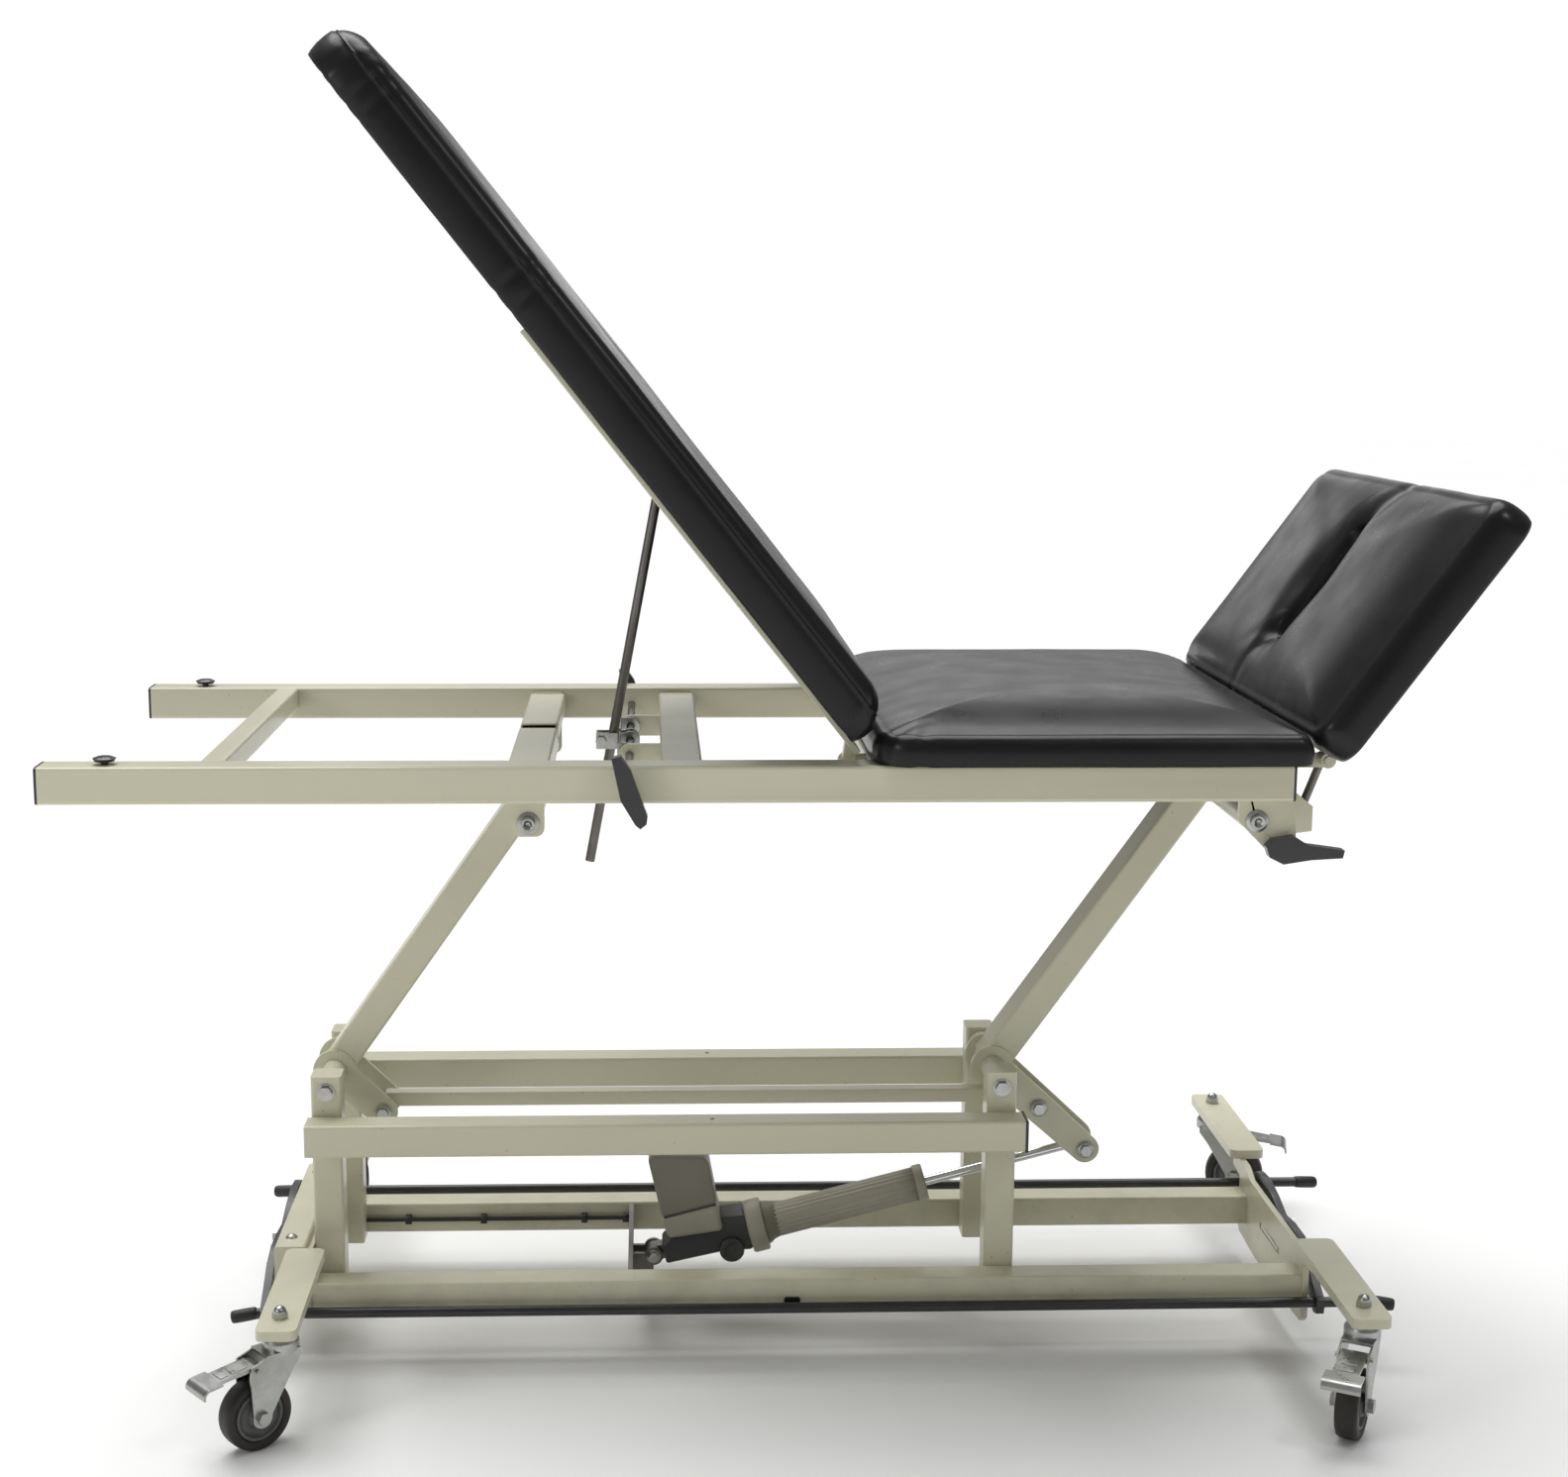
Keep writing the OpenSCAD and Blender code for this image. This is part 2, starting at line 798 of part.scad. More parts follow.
module bracket_foot(side) {
    y0 = side > 0 ? bracket_inner : -rail_inner;
    y1 = side > 0 ? rail_inner : -bracket_inner;
    color(cream) across(y0, y1) difference() {
        union() {
            translate([-304, 690]) square([37, 72]);
            translate([-294, 679]) square([17, 20]);
            for (x = [-294, -277]) {
                translate([x, 689]) circle(10, $fn = 48);
            }
        }
        translate([foot_top_x, top_pivot_z]) circle(pin_bore, $fn = 48);
    }
}

module bracket_foot_near() {
    bracket_foot(near);
}

module bracket_foot_far() {
    bracket_foot(far);
}

module bracket_head(side) {
    y0 = side > 0 ? bracket_inner : -rail_inner;
    y1 = side > 0 ? rail_inner : -bracket_inner;
    color(cream) across(y0, y1) difference() {
        union() {
            polygon([
                [524, 767], [524, 694], [556, 661.5], [586, 661.5], [591, 667], [590, 696], [586, 716], [586, 725.4],
                [574, 740], [574, 767]
            ]);
        }
        translate([head_top_x, top_pivot_z]) circle(pin_bore, $fn = 48);
        translate([release_x, release_z]) circle(5.05, $fn = 48);
    }
}

module bracket_head_near() {
    bracket_head(near);
}

module bracket_head_far() {
    bracket_head(far);
}

// Black end caps of the rails and the four rubber rests under the long section
module top_trim() {
    color(black) for (side = [near, far]) {
        for (x = [frame_start, frame_end - cap_thickness]) {
            end_x(x, cap_thickness, side * rail_mid_y, rail_mid_z, rail_width, rail_height);
        }
        translate([-751, side * rail_mid_y, rail_top]) {
            cylinder(r = 4, h = 4, $fn = 32);
            translate([0, 0, 3.5]) cylinder(r1 = 11, r2 = 13, h = 3.5, $fn = 48);
            translate([0, 0, 7]) cylinder(r1 = 13, r2 = 8, h = 2, $fn = 48);
        }
    }
}

mid_pad_bottom = 767.5;
mid_pad_top = 834;
mid_pad_start = 101;
mid_pad_end = 596;
module mid_cushion() {
    color(vinyl) intersection() {
        translate([0, 0, mid_pad_bottom]) linear_extrude(mid_pad_top - mid_pad_bottom) union() {
            translate([mid_pad_start + 50, -pad_half]) square([mid_pad_end - mid_pad_start - 70, pad_width]);
            translate([mid_pad_start, -pad_half + 50]) square([100, pad_width - 100]);
            translate([mid_pad_end - 100, -pad_half + 20]) square([100, pad_width - 40]);
            for (side = [near, far]) {
                translate([mid_pad_start + 50, side * (pad_half - 50)]) circle(50, $fn = 96);
                translate([mid_pad_end - 20, side * (pad_half - 20)]) circle(20, $fn = 64);
            }
        }
        across(-400, 400) polygon([
            [mid_pad_start, 767.5], [mid_pad_start, 790], [mid_pad_start + 12, 836],
            [mid_pad_end - 19, 836], [mid_pad_end, 780], [mid_pad_end, 767.5]
        ]);
    }
}

// ---- Long section, drawn flat from its hinge towards minus X ----

bar_inner = 240;
bar_outer = 280;
bar_bottom = 14.5;
bar_far_end = 607;
module long_bar(side) {
    y0 = side > 0 ? bar_inner : -bar_outer;
    y1 = side > 0 ? bar_outer : -bar_inner;
    lug0 = side > 0 ? bar_inner : -bar_inner - 16;
    lug1 = side > 0 ? bar_inner + 16 : -bar_inner;
    color(cream) place_long() {
        box([-bar_far_end, y0, bar_bottom], [-8, y1, long_pad_bottom]);
        across(lug0, lug1) difference() {
            union() {
                circle(10, $fn = 48);
                polygon([[-24, 15], [-10, 0], [10, 0], [8, 9], [-8, 16]]);
            }
            circle(5.05, $fn = 48);
        }
    }
}

module long_bar_near() {
    long_bar(near);
}

module long_bar_far() {
    long_bar(far);
}

// Cross strap with the two lugs that hold the prop rod's pin
module long_strap() {
    color(cream) place_long() {
        box([-prop_pin_s - 52, -bar_inner, bar_bottom], [-prop_pin_s - 12, bar_inner, long_pad_bottom]);
        for (side = [near, far]) {
            y0 = side > 0 ? 9 : -14;
            y1 = side > 0 ? 14 : -9;
            across(y0, y1) difference() {
                union() {
                    translate([-prop_pin_s, prop_pin_n]) circle(7, $fn = 48);
                    translate([-prop_pin_s - 30, prop_pin_n - 7]) square([30, 16]);
                }
                translate([-prop_pin_s, prop_pin_n]) circle(4.05, $fn = 32);
            }
        }
    }
}

module long_cushion() {
    pad_end = long_pad_start + long_pad_length;
    color(vinyl) place_long() intersection() {
        translate([0, 0, long_pad_bottom]) linear_extrude(long_pad_thickness) union() {
            translate([-pad_end + 60, -pad_half]) square([long_pad_length - 90, pad_width]);
            translate([-pad_end, -pad_half + 60]) square([long_pad_length, pad_width - 120]);
            translate([-long_pad_start - 60, -pad_half + 30]) square([60, pad_width - 60]);
            for (side = [near, far]) {
                translate([-pad_end + 60, side * (pad_half - 60)]) circle(60, $fn = 96);
                translate([-long_pad_start - 30, side * (pad_half - 30)]) circle(30, $fn = 64);
            }
        }
        across(-400, 400) polygon([
            [-pad_end, long_pad_bottom], [-long_pad_start, long_pad_bottom], [-long_pad_start, 48],
            [-long_pad_start - 37, 83.6], [-pad_end + 30, 83.6], [-pad_end, 62]
        ]);
    }
}

// Direction of the prop rod as the couch stands: it passes the lock's shaft at the lock offset
pin_x = long_pivot_x - prop_pin_s * cos(long_angle) + prop_pin_n * sin(long_angle);
pin_z = long_pivot_z + prop_pin_s * sin(long_angle) + prop_pin_n * cos(long_angle);
lock_distance = sqrt((lock_x - pin_x) * (lock_x - pin_x) + (lock_z - pin_z) * (lock_z - pin_z));
prop_angle = atan2(pin_z - lock_z, pin_x - lock_x) - asin(lock_offset / lock_distance);

module prop_rod() {
    color(steel) translate([pin_x, 0, pin_z]) rotate([0, -prop_angle, 0]) {
        bar_x(-prop_length, 0, 0, 0, prop_radius, 48);
        bar_y(0, 0, -8, 8, 8);
        bar_y(0, 0, -17, 17, 4, 32);
    }
}

// Two mirrored halves of the rod lock, joined by the clamp screw beyond the rod
module prop_lock() {
    color(zinc) translate([lock_x, 0, lock_z]) {
        for (side = [near, far]) {
            web0 = side > 0 ? 9 : -100;
            web1 = side > 0 ? 100 : -9;
            flange0 = side > 0 ? 96 : -100;
            flange1 = side > 0 ? 100 : -96;
            plate0 = side > 0 ? 9 : -13;
            plate1 = side > 0 ? 13 : -9;
            box([-15, web0, -12], [-12, web1, 12]);
            across(flange0, flange1) difference() {
                union() {
                    circle(12, $fn = 48);
                    translate([-15, -12]) square([15, 24]);
                }
                circle(5.05, $fn = 48);
            }
            across(plate0, plate1) difference() {
                union() {
                    circle(12, $fn = 48);
                    translate([-42, -10]) square([42, 20]);
                }
                circle(5.05, $fn = 48);
            }
        }
        bar_y(-36, 0, -16, 16, 4, 24);
        hex_y(-36, 0, 13, 7, 5, 1);
        hex_y(-36, 0, -13, 7, 5, -1);
    }
}

// Two half shafts, each with a black handle outside its rail
module release_bar() {
    color(black) for (side = [near, far]) {
        bar_y(lock_x, lock_z, side > 0 ? 8.5 : -350, side > 0 ? 350 : -8.5, 5);
        across(side > 0 ? 344 : -359, side > 0 ? 359 : -344) polygon([
            [-190, 782], [-180, 785], [-169, 769], [-158, 738], [-150.5, 718], [-151.5, 709], [-158.5, 703.5],
            [-164, 708], [-180, 735], [-188.5, 775]
        ]);
    }
}

// ---- Head section, drawn flat from its hinge towards plus X ----

slot_start = 105;
slot_end = 255;
slot_half = 38;
module face_slot(grow) {
    translate([slot_start + slot_half, 0]) circle(slot_half + grow, $fn = 96);
    translate([slot_end - slot_half, 0]) circle(slot_half + grow, $fn = 96);
    translate([slot_start + slot_half, -slot_half - grow]) {
        square([slot_end - slot_start - 2 * slot_half, 2 * (slot_half + grow)]);
    }
}

module head_frame() {
    color(cream) place_head() {
        translate([0, 0, 3]) linear_extrude(head_pad_bottom - 3) difference() {
            translate([170, 0]) round_rect(310, pad_width - 50, 20);
            face_slot(8);
        }
        for (side = [near, far]) {
            across(side > 0 ? 237 : -253, side > 0 ? 253 : -237) difference() {
                union() {
                    circle(9, $fn = 48);
                    polygon([[-4, 7], [40, 4], [40, 0], [8, -4]]);
                }
                circle(5.05, $fn = 48);
            }
            y = head_rod_y + side * 10;
            across(y - 2.5, y + 2.5) difference() {
                union() {
                    translate([head_rod_s, head_rod_n - 2]) circle(9, $fn = 48);
                    polygon([[50, 4], [96, 4], [head_rod_s + 7, -7], [head_rod_s - 7, -7]]);
                }
                translate([head_rod_s, head_rod_n - 4]) circle(4.05, $fn = 32);
            }
        }
    }
}

module head_cushion() {
    pad_end = head_pad_start + head_pad_length;
    color(vinyl) place_head() difference() {
        intersection() {
            translate([0, 0, head_pad_bottom]) linear_extrude(head_pad_top - head_pad_bottom) union() {
                translate([head_pad_start + 45, -pad_half]) square([head_pad_length - 90, pad_width]);
                translate([head_pad_start, -pad_half + 45]) square([head_pad_length, pad_width - 90]);
                for (x = [head_pad_start + 45, pad_end - 45], side = [near, far]) {
                    translate([x, side * (pad_half - 45)]) circle(45, $fn = 96);
                }
            }
            across(-400, 400) union() {
                translate([head_pad_start + 30, 44]) circle(30, $fn = 96);
                polygon([
                    [head_pad_start, head_pad_bottom], [pad_end - 5.4, head_pad_bottom], [pad_end, head_pad_bottom + 8],
                    [pad_end, 54], [pad_end - 24, 75],
                    [head_pad_start + 30, 74], [head_pad_start + 30, 44], [head_pad_start, 44]
                ]);
            }
        }
        translate([0, 0, -10]) linear_extrude(120) face_slot(0);
    }
}

module head_prop_rod() {
    color(steel) place_head() {
        translate([head_rod_s, head_rod_y, head_rod_n - 4]) rotate([0, -(head_rod_angle - head_angle), 0]) {
            bar_x(-head_rod_length, 0, 0, 0, 5, 32);
            bar_y(0, 0, -7, 7, 7, 32);
            bar_y(0, 0, -15, 15, 4, 32);
        }
    }
}

// Short shaft through the near bracket with a black lever
module head_release() {
    color(black) {
        bar_y(release_x, release_z, -300, -262, 5);
        bar_y(release_x, release_z, -271, -262, 9);
        across(-300, -284) polygon([
            [552, 668], [560, 676], [584, 680], [600, 670], [642, 664], [640, 655], [604, 653], [572, 648], [556, 656]
        ]);
    }
}

lower_tube_near();
lower_tube_far();
upper_tube_near();
upper_tube_far();
posts_foot();
posts_head();
end_plate_foot();
end_plate_head();
outrigger_foot_near();
outrigger_foot_far();
outrigger_head_near();
outrigger_head_far();
base_fasteners();
actuator_mount();
actuator_cable();
foot_bar_near();
foot_bar_far();
foot_bar_arm_foot();
foot_bar_arm_head();
castor_fork_foot_near();
castor_wheel_foot_near();
castor_pedal_foot_near();
castor_fork_foot_far();
castor_wheel_foot_far();
castor_pedal_foot_far();
castor_fork_head_near();
castor_wheel_head_near();
castor_pedal_head_near();
castor_fork_head_far();
castor_wheel_head_far();
castor_pedal_head_far();
lift_arm_foot();
lift_arm_head();
tie_bar();
actuator_body();
actuator_rod();
rail_near();
rail_far();
cross_tube_end();
cross_plate_mid();
cross_plate_lock();
cross_tube_hinge();
cross_tube_head();
bracket_foot_near();
bracket_foot_far();
bracket_head_near();
bracket_head_far();
top_trim();
mid_cushion();
long_bar_near();
long_bar_far();
long_strap();
long_cushion();
prop_rod();
prop_lock();
release_bar();
head_frame();
head_cushion();
head_prop_rod();
head_release();
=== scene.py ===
"""Looks of the sectional treatment couch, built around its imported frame. Lengths are in metres."""

import json
import math

import bmesh
import bpy
from mathutils import Matrix, Vector, noise


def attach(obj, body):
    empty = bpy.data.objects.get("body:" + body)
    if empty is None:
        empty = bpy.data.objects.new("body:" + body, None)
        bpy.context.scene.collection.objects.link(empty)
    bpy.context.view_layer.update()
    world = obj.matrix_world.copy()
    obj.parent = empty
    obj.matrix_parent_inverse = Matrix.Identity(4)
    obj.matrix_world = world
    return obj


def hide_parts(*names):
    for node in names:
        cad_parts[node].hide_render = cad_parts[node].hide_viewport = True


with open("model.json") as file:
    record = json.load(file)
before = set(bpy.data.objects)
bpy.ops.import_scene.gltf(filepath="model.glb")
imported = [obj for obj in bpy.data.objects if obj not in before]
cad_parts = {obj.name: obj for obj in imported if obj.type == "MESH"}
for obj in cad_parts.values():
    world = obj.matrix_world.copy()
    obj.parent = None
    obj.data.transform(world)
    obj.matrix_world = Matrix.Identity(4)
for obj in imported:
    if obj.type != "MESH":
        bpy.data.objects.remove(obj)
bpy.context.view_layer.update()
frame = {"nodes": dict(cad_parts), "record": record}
NODES = frame["nodes"]
MM = 0.001
SIDES = ((-1, "near"), (1, "far"))

# ---- Places taken over from the part's own source: hinges, clevis, rocking bars, castor (x, y, turn) ----

LONG = Matrix.Translation((0.078, 0, 0.7565)) @ Matrix.Rotation(math.radians(51.5), 4, "Y")
HEAD = Matrix.Translation((0.632, 0, 0.7595)) @ Matrix.Rotation(math.radians(-54.0), 4, "Y")
CLEVIS = Matrix.Translation((-0.1438, 0, 0.072)) @ Matrix.Rotation(math.radians(-14.67), 4, "Y")
FOOT_BARS = Matrix.Translation((0, 0, 0.1)) @ Matrix.Rotation(math.radians(4.8), 4, "X")
CASTORS = {
    "foot_near": (-0.566, -0.3665, 218),
    "foot_far": (-0.566, 0.3665, 119),
    "head_near": (0.6695, -0.3665, 241),
    "head_far": (0.6695, 0.3665, 345),
}

# ---- Materials ----


class Shader:
    """A node material under construction, with short calls for the nodes used here."""

    def __init__(self, name):
        self.mat = bpy.data.materials.new(name)
        self.mat.use_nodes = True
        self.tree = self.mat.node_tree
        self.out = self.tree.nodes["Principled BSDF"]
        coords = self.tree.nodes.new("ShaderNodeTexCoord")
        self.where = coords.outputs["Object"]

    def set(self, **values):
        for key, value in values.items():
            self.out.inputs[key.replace("_", " ")].default_value = value
        return self

    def link(self, a, b):
        self.tree.links.new(a, b)

    def noise(self, scale, detail=3.0, rough=0.55, stretch=None):
        node = self.tree.nodes.new("ShaderNodeTexNoise")
        node.inputs["Scale"].default_value = scale
        node.inputs["Detail"].default_value = detail
        node.inputs["Roughness"].default_value = rough
        self.link(self.mapped(stretch), node.inputs["Vector"])
        return node.outputs["Fac"]

    def cells(self, scale):
        """Distance to the nearest edge between cells."""
        node = self.tree.nodes.new("ShaderNodeTexVoronoi")
        node.feature = "DISTANCE_TO_EDGE"
        node.inputs["Scale"].default_value = scale
        self.link(self.where, node.inputs["Vector"])
        return node.outputs["Distance"]

    def mapped(self, stretch):
        if stretch is None:
            return self.where
        node = self.tree.nodes.new("ShaderNodeMapping")
        node.inputs["Scale"].default_value = stretch
        self.link(self.where, node.inputs["Vector"])
        return node.outputs["Vector"]

    def remap(self, value, low, high, a=0.0, b=1.0):
        node = self.tree.nodes.new("ShaderNodeMapRange")
        node.inputs["From Min"].default_value = low
        node.inputs["From Max"].default_value = high
        node.inputs["To Min"].default_value = a
        node.inputs["To Max"].default_value = b
        self.link(value, node.inputs["Value"])
        return node.outputs["Result"]

    def height(self, low, high):
        """1 at and below low, 0 at and above high, in metres over the floor."""
        node = self.tree.nodes.new("ShaderNodeSeparateXYZ")
        self.link(self.where, node.inputs["Vector"])
        return self.remap(node.outputs["Z"], low, high, 1.0, 0.0)

    def math(self, kind, a, b):
        node = self.tree.nodes.new("ShaderNodeMath")
        node.operation = kind
        for socket, value in zip(node.inputs, (a, b)):
            if isinstance(value, (int, float)):
                socket.default_value = value
            else:
                self.link(value, socket)
        return node.outputs["Value"]

    def blend(self, factor, a, b):
        node = self.tree.nodes.new("ShaderNodeMix")
        node.data_type = "RGBA"
        self.link(factor, node.inputs[0])
        for socket, value in ((node.inputs[6], a), (node.inputs[7], b)):
            if isinstance(value, tuple):
                socket.default_value = (*value, 1.0)
            else:
                self.link(value, socket)
        return node.outputs[2]

    def colour(self, value):
        if isinstance(value, tuple):
            self.out.inputs["Base Color"].default_value = (*value, 1.0)
        else:
            self.link(value, self.out.inputs["Base Color"])
        return self

    def rough(self, value):
        self.link(value, self.out.inputs["Roughness"])
        return self

    def bump(self, *layers):
        """Layers are (height socket, depth in metres, strength)."""
        last = None
        for value, depth, strength in layers:
            node = self.tree.nodes.new("ShaderNodeBump")
            node.inputs["Distance"].default_value = depth
            node.inputs["Strength"].default_value = strength
            self.link(value, node.inputs["Height"])
            if last is not None:
                self.link(last, node.inputs["Normal"])
            last = node.outputs["Normal"]
        self.link(last, self.out.inputs["Normal"])
        return self


def painted(name, colour, worn, rough=0.36):
    """Powder coat: fine orange peel, faint tone changes, a little grime low down and rubbed spots."""
    s = Shader(name).set(Coat_Weight=0.25, Coat_Roughness=0.22, Specular_IOR_Level=0.5)
    tone = s.blend(s.remap(s.noise(4.0), 0.35, 0.65), colour, tuple(c * 0.965 for c in colour))
    grime = s.math("MULTIPLY", s.height(0.02, 0.2), s.remap(s.noise(22.0, 5.0), 0.45, 0.75))
    specks = s.remap(s.noise(160.0, 2.0), 0.73, 0.78)
    s.colour(s.blend(specks, s.blend(s.math("MULTIPLY", grime, 0.45), tone, worn), worn))
    s.rough(s.remap(s.noise(9.0, 4.0), 0.3, 0.7, rough - 0.05, rough + 0.07))
    return s.bump((s.noise(420.0, 2.0), 0.0006, 0.10)).mat


def metal(name, colour, rough, tint, scale=60.0, stretch=None, depth=0.0002):
    """Plated or plain metal with cloudy tint, fine scratches and a slightly uneven polish."""
    s = Shader(name).set(Metallic=1.0)
    s.colour(s.blend(s.remap(s.noise(18.0, 4.0), 0.35, 0.7), colour, tint))
    s.rough(s.remap(s.noise(scale, 4.0, 0.6, stretch), 0.3, 0.75, rough - 0.07, rough + 0.12))
    return s.bump((s.noise(scale * 4, 2.0, 0.5, stretch), depth, 0.12)).mat


def plastic(name, colour, rough, grain=700.0, strength=0.12, coat=0.0):
    """Moulded plastic with a fine spark-eroded grain and faint handling marks."""
    s = Shader(name).set(Coat_Weight=coat, Coat_Roughness=0.1)
    s.colour(s.blend(s.remap(s.noise(12.0, 4.0), 0.35, 0.7), colour, tuple(c * 0.86 for c in colour)))
    s.rough(s.remap(s.noise(30.0, 5.0), 0.3, 0.7, rough - 0.06, rough + 0.1))
    return s.bump((s.noise(grain, 2.0), 0.0003, strength)).mat


def upholstery():
    """Black coated vinyl: pebbled grain, low wrinkles between the pebbles, glossy with soft cloudy wear."""
    s = Shader("vinyl").set(Specular_IOR_Level=0.24, Coat_Weight=0.06, Coat_Roughness=0.16)
    s.colour(s.blend(s.remap(s.noise(7.0, 4.0), 0.35, 0.7), (0.0065, 0.0065, 0.0068), (0.0105, 0.010, 0.0100)))
    s.rough(s.remap(s.noise(16.0, 5.0), 0.3, 0.72, 0.25, 0.38))
    grain = s.remap(s.cells(780.0), 0.0, 0.16)
    return s.bump((s.noise(30.0, 1.0), 0.0008, 0.035), (grain, 0.00018, 0.12)).mat


CREAM = painted("cream_paint", (0.585, 0.57, 0.42), (0.27, 0.245, 0.19))
BLACK_PAINT = painted("black_paint", (0.014, 0.014, 0.015), (0.05, 0.045, 0.04), 0.34)
ZINC = metal("bright_zinc", (0.46, 0.47, 0.46), 0.30, (0.34, 0.34, 0.31))
STEEL = metal("plain_steel", (0.20, 0.19, 0.175), 0.38, (0.13, 0.12, 0.11), 90.0, (1, 6, 1))
CHROME = metal("chromed_rod", (0.80, 0.81, 0.83), 0.12, (0.74, 0.75, 0.77), 120.0, (1, 8, 8), 0.00005)
BLACK_PLASTIC = plastic("black_plastic", (0.013, 0.013, 0.014), 0.3, 520.0, 0.08, 0.2)
HOUSING = plastic("grey_housing", (0.205, 0.19, 0.15), 0.46)
HOUSING_LIGHT = plastic("light_housing", (0.37, 0.35, 0.285), 0.46)
GEARBOX = plastic("dark_gearbox", (0.045, 0.045, 0.046), 0.42)
TYRE = plastic("tyre_rubber", (0.018, 0.014, 0.010), 0.52, 420.0, 0.2)
HUB = plastic("hub_plastic", (0.10, 0.105, 0.095), 0.38, 600.0, 0.1)
SHEATH = plastic("cable_sheath", (0.016, 0.016, 0.017), 0.5, 300.0, 0.1)
VINYL = upholstery()

# ---- Frame nodes: finishes and rounded edges ----

FINISH = {
    "frame_paint": CREAM,
    "black_metal": BLACK_PAINT,
    "zinc": ZINC,
    "dark_steel": STEEL,
    "chrome": CHROME,
    "black_plastic": BLACK_PLASTIC,
    "actuator_plastic": HOUSING,
    "tyre": TYRE,
    "vinyl": VINYL,
    "cable": SHEATH,
}
SLOT = {p["node"]: p["material_slot"] for p in frame["record"]["subparts"]}
EDGE = {"frame_paint": 1.1, "black_metal": 1.0, "zinc": 0.45, "dark_steel": 0.4, "black_plastic": 0.8}
WELD_GAP = 0.00002
FLAT_FACE_WEIGHT = 60
ROUNDED_IN_CAD = ("lower_tube", "upper_tube", "rail_")


def bevelled(obj, width, angle=30, segments=2):
    """Rounds the edges sharper than the angle and lets the large faces set the shading."""
    bevel = obj.modifiers.new("rounded", "BEVEL")
    bevel.width = width
    bevel.segments = segments
    bevel.limit_method = "ANGLE"
    bevel.angle_limit = math.radians(angle)
    bevel.use_clamp_overlap = True
    obj.modifiers.new("even", "WEIGHTED_NORMAL").weight = FLAT_FACE_WEIGHT
    return obj


def shade_by_area(obj, width=None):
    """Merges the split corners of a frame mesh, rounds its hard edges and evens the shading."""
    obj.modifiers.new("weld", "WELD").merge_threshold = WELD_GAP
    if width:
        bevelled(obj, width * MM, 38)
    else:
        obj.modifiers.new("even", "WEIGHTED_NORMAL").weight = FLAT_FACE_WEIGHT


for node_name, node_obj in NODES.items():
    slot_name = SLOT[node_name]
    node_obj.data.materials.clear()
    node_obj.data.materials.append(FINISH[slot_name])
    for polygon in node_obj.data.polygons:
        polygon.use_smooth = True
    if not node_name.startswith(ROUNDED_IN_CAD):
        shade_by_area(node_obj, EDGE.get(slot_name))

# ---- Mesh helpers ----


def make(name, verts, faces, mat, body, smooth=True, place=None):
    """A mesh piece of the given body, from places in metres."""
    mesh = bpy.data.meshes.new(name)
    mesh.from_pydata([tuple(v) for v in verts], [], faces)
    if place is not None:
        mesh.transform(place)
    bm = bmesh.new()
    bm.from_mesh(mesh)
    bmesh.ops.recalc_face_normals(bm, faces=bm.faces)
    bm.to_mesh(mesh)
    bm.free()
    mesh.update()
    mesh.polygons.foreach_set("use_smooth", [smooth] * len(mesh.polygons))
    mesh.materials.append(mat)
    obj = bpy.data.objects.new(name, mesh)
    bpy.context.scene.collection.objects.link(obj)
    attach(obj, body)
    return obj


def axes(centre, axis, up=(0, 0, 1)):
    """Matrix that puts local Z along axis, at centre."""
    z = Vector(axis).normalized()
    x = Vector(up).cross(z)
    if x.length < 1e-4:
        x = Vector((1, 0, 0))
    x.normalize()
    y = z.cross(x)
    return Matrix.Translation(centre) @ Matrix((x, y, z)).transposed().to_4x4()


def ring_faces(rings, sides):
    """Quads between neighbouring rings of points, numbered ring by ring."""
    return [
        (i * sides + k, i * sides + (k + 1) % sides, (i + 1) * sides + (k + 1) % sides, (i + 1) * sides + k)
        for i in range(rings - 1)
        for k in range(sides)
    ]


def turned(name, profile, place, mat, body, sides=48, closed=True):
    """A shape turned about local Z, from (radius, height) pairs in millimetres."""
    verts = []
    for r, h in profile:
        for k in range(sides):
            a = 2 * math.pi * k / sides
            verts.append((r * math.cos(a) * MM, r * math.sin(a) * MM, h * MM))
    rings = len(profile)
    faces = ring_faces(rings, sides)
    if closed:
        faces.append(tuple(range(sides)))
        faces.append(tuple((rings - 1) * sides + k for k in range(sides)))
    else:
        for k in range(sides):
            j = (k + 1) % sides
            faces.append(((rings - 1) * sides + k, (rings - 1) * sides + j, j, k))
    return make(name, verts, faces, mat, body, place=place)


def slab(name, outline, z0, z1, place, mat, body, edge=0.8, segments=2):
    """An outline in local X and Y, in millimetres, raised from z0 to z1 with rounded edges."""
    n = len(outline)
    verts = [(x * MM, y * MM, z * MM) for z in (z0, z1) for x, y in outline]
    faces = [tuple(range(n)), tuple(range(n, 2 * n))]
    faces += [(k, (k + 1) % n, n + (k + 1) % n, n + k) for k in range(n)]
    obj = make(name, verts, faces, mat, body, place=place)
    return bevelled(obj, edge * MM, segments=segments)


def box_piece(name, low, high, place, mat, body, edge=1.0, segments=3):
    """A box between two corners, in local millimetres, with rounded edges."""
    outline = [(low[0], low[1]), (high[0], low[1]), (high[0], high[1]), (low[0], high[1])]
    return slab(name, outline, low[2], high[2], place, mat, body, edge, segments)


def circle_points(cx, cy, r, start, end, steps):
    """Points on an arc between two angles in degrees, both ends counted."""
    return [
        (cx + r * math.cos(math.radians(start + (end - start) * k / steps)),
         cy + r * math.sin(math.radians(start + (end - start) * k / steps)))
        for k in range(steps + 1)
    ]


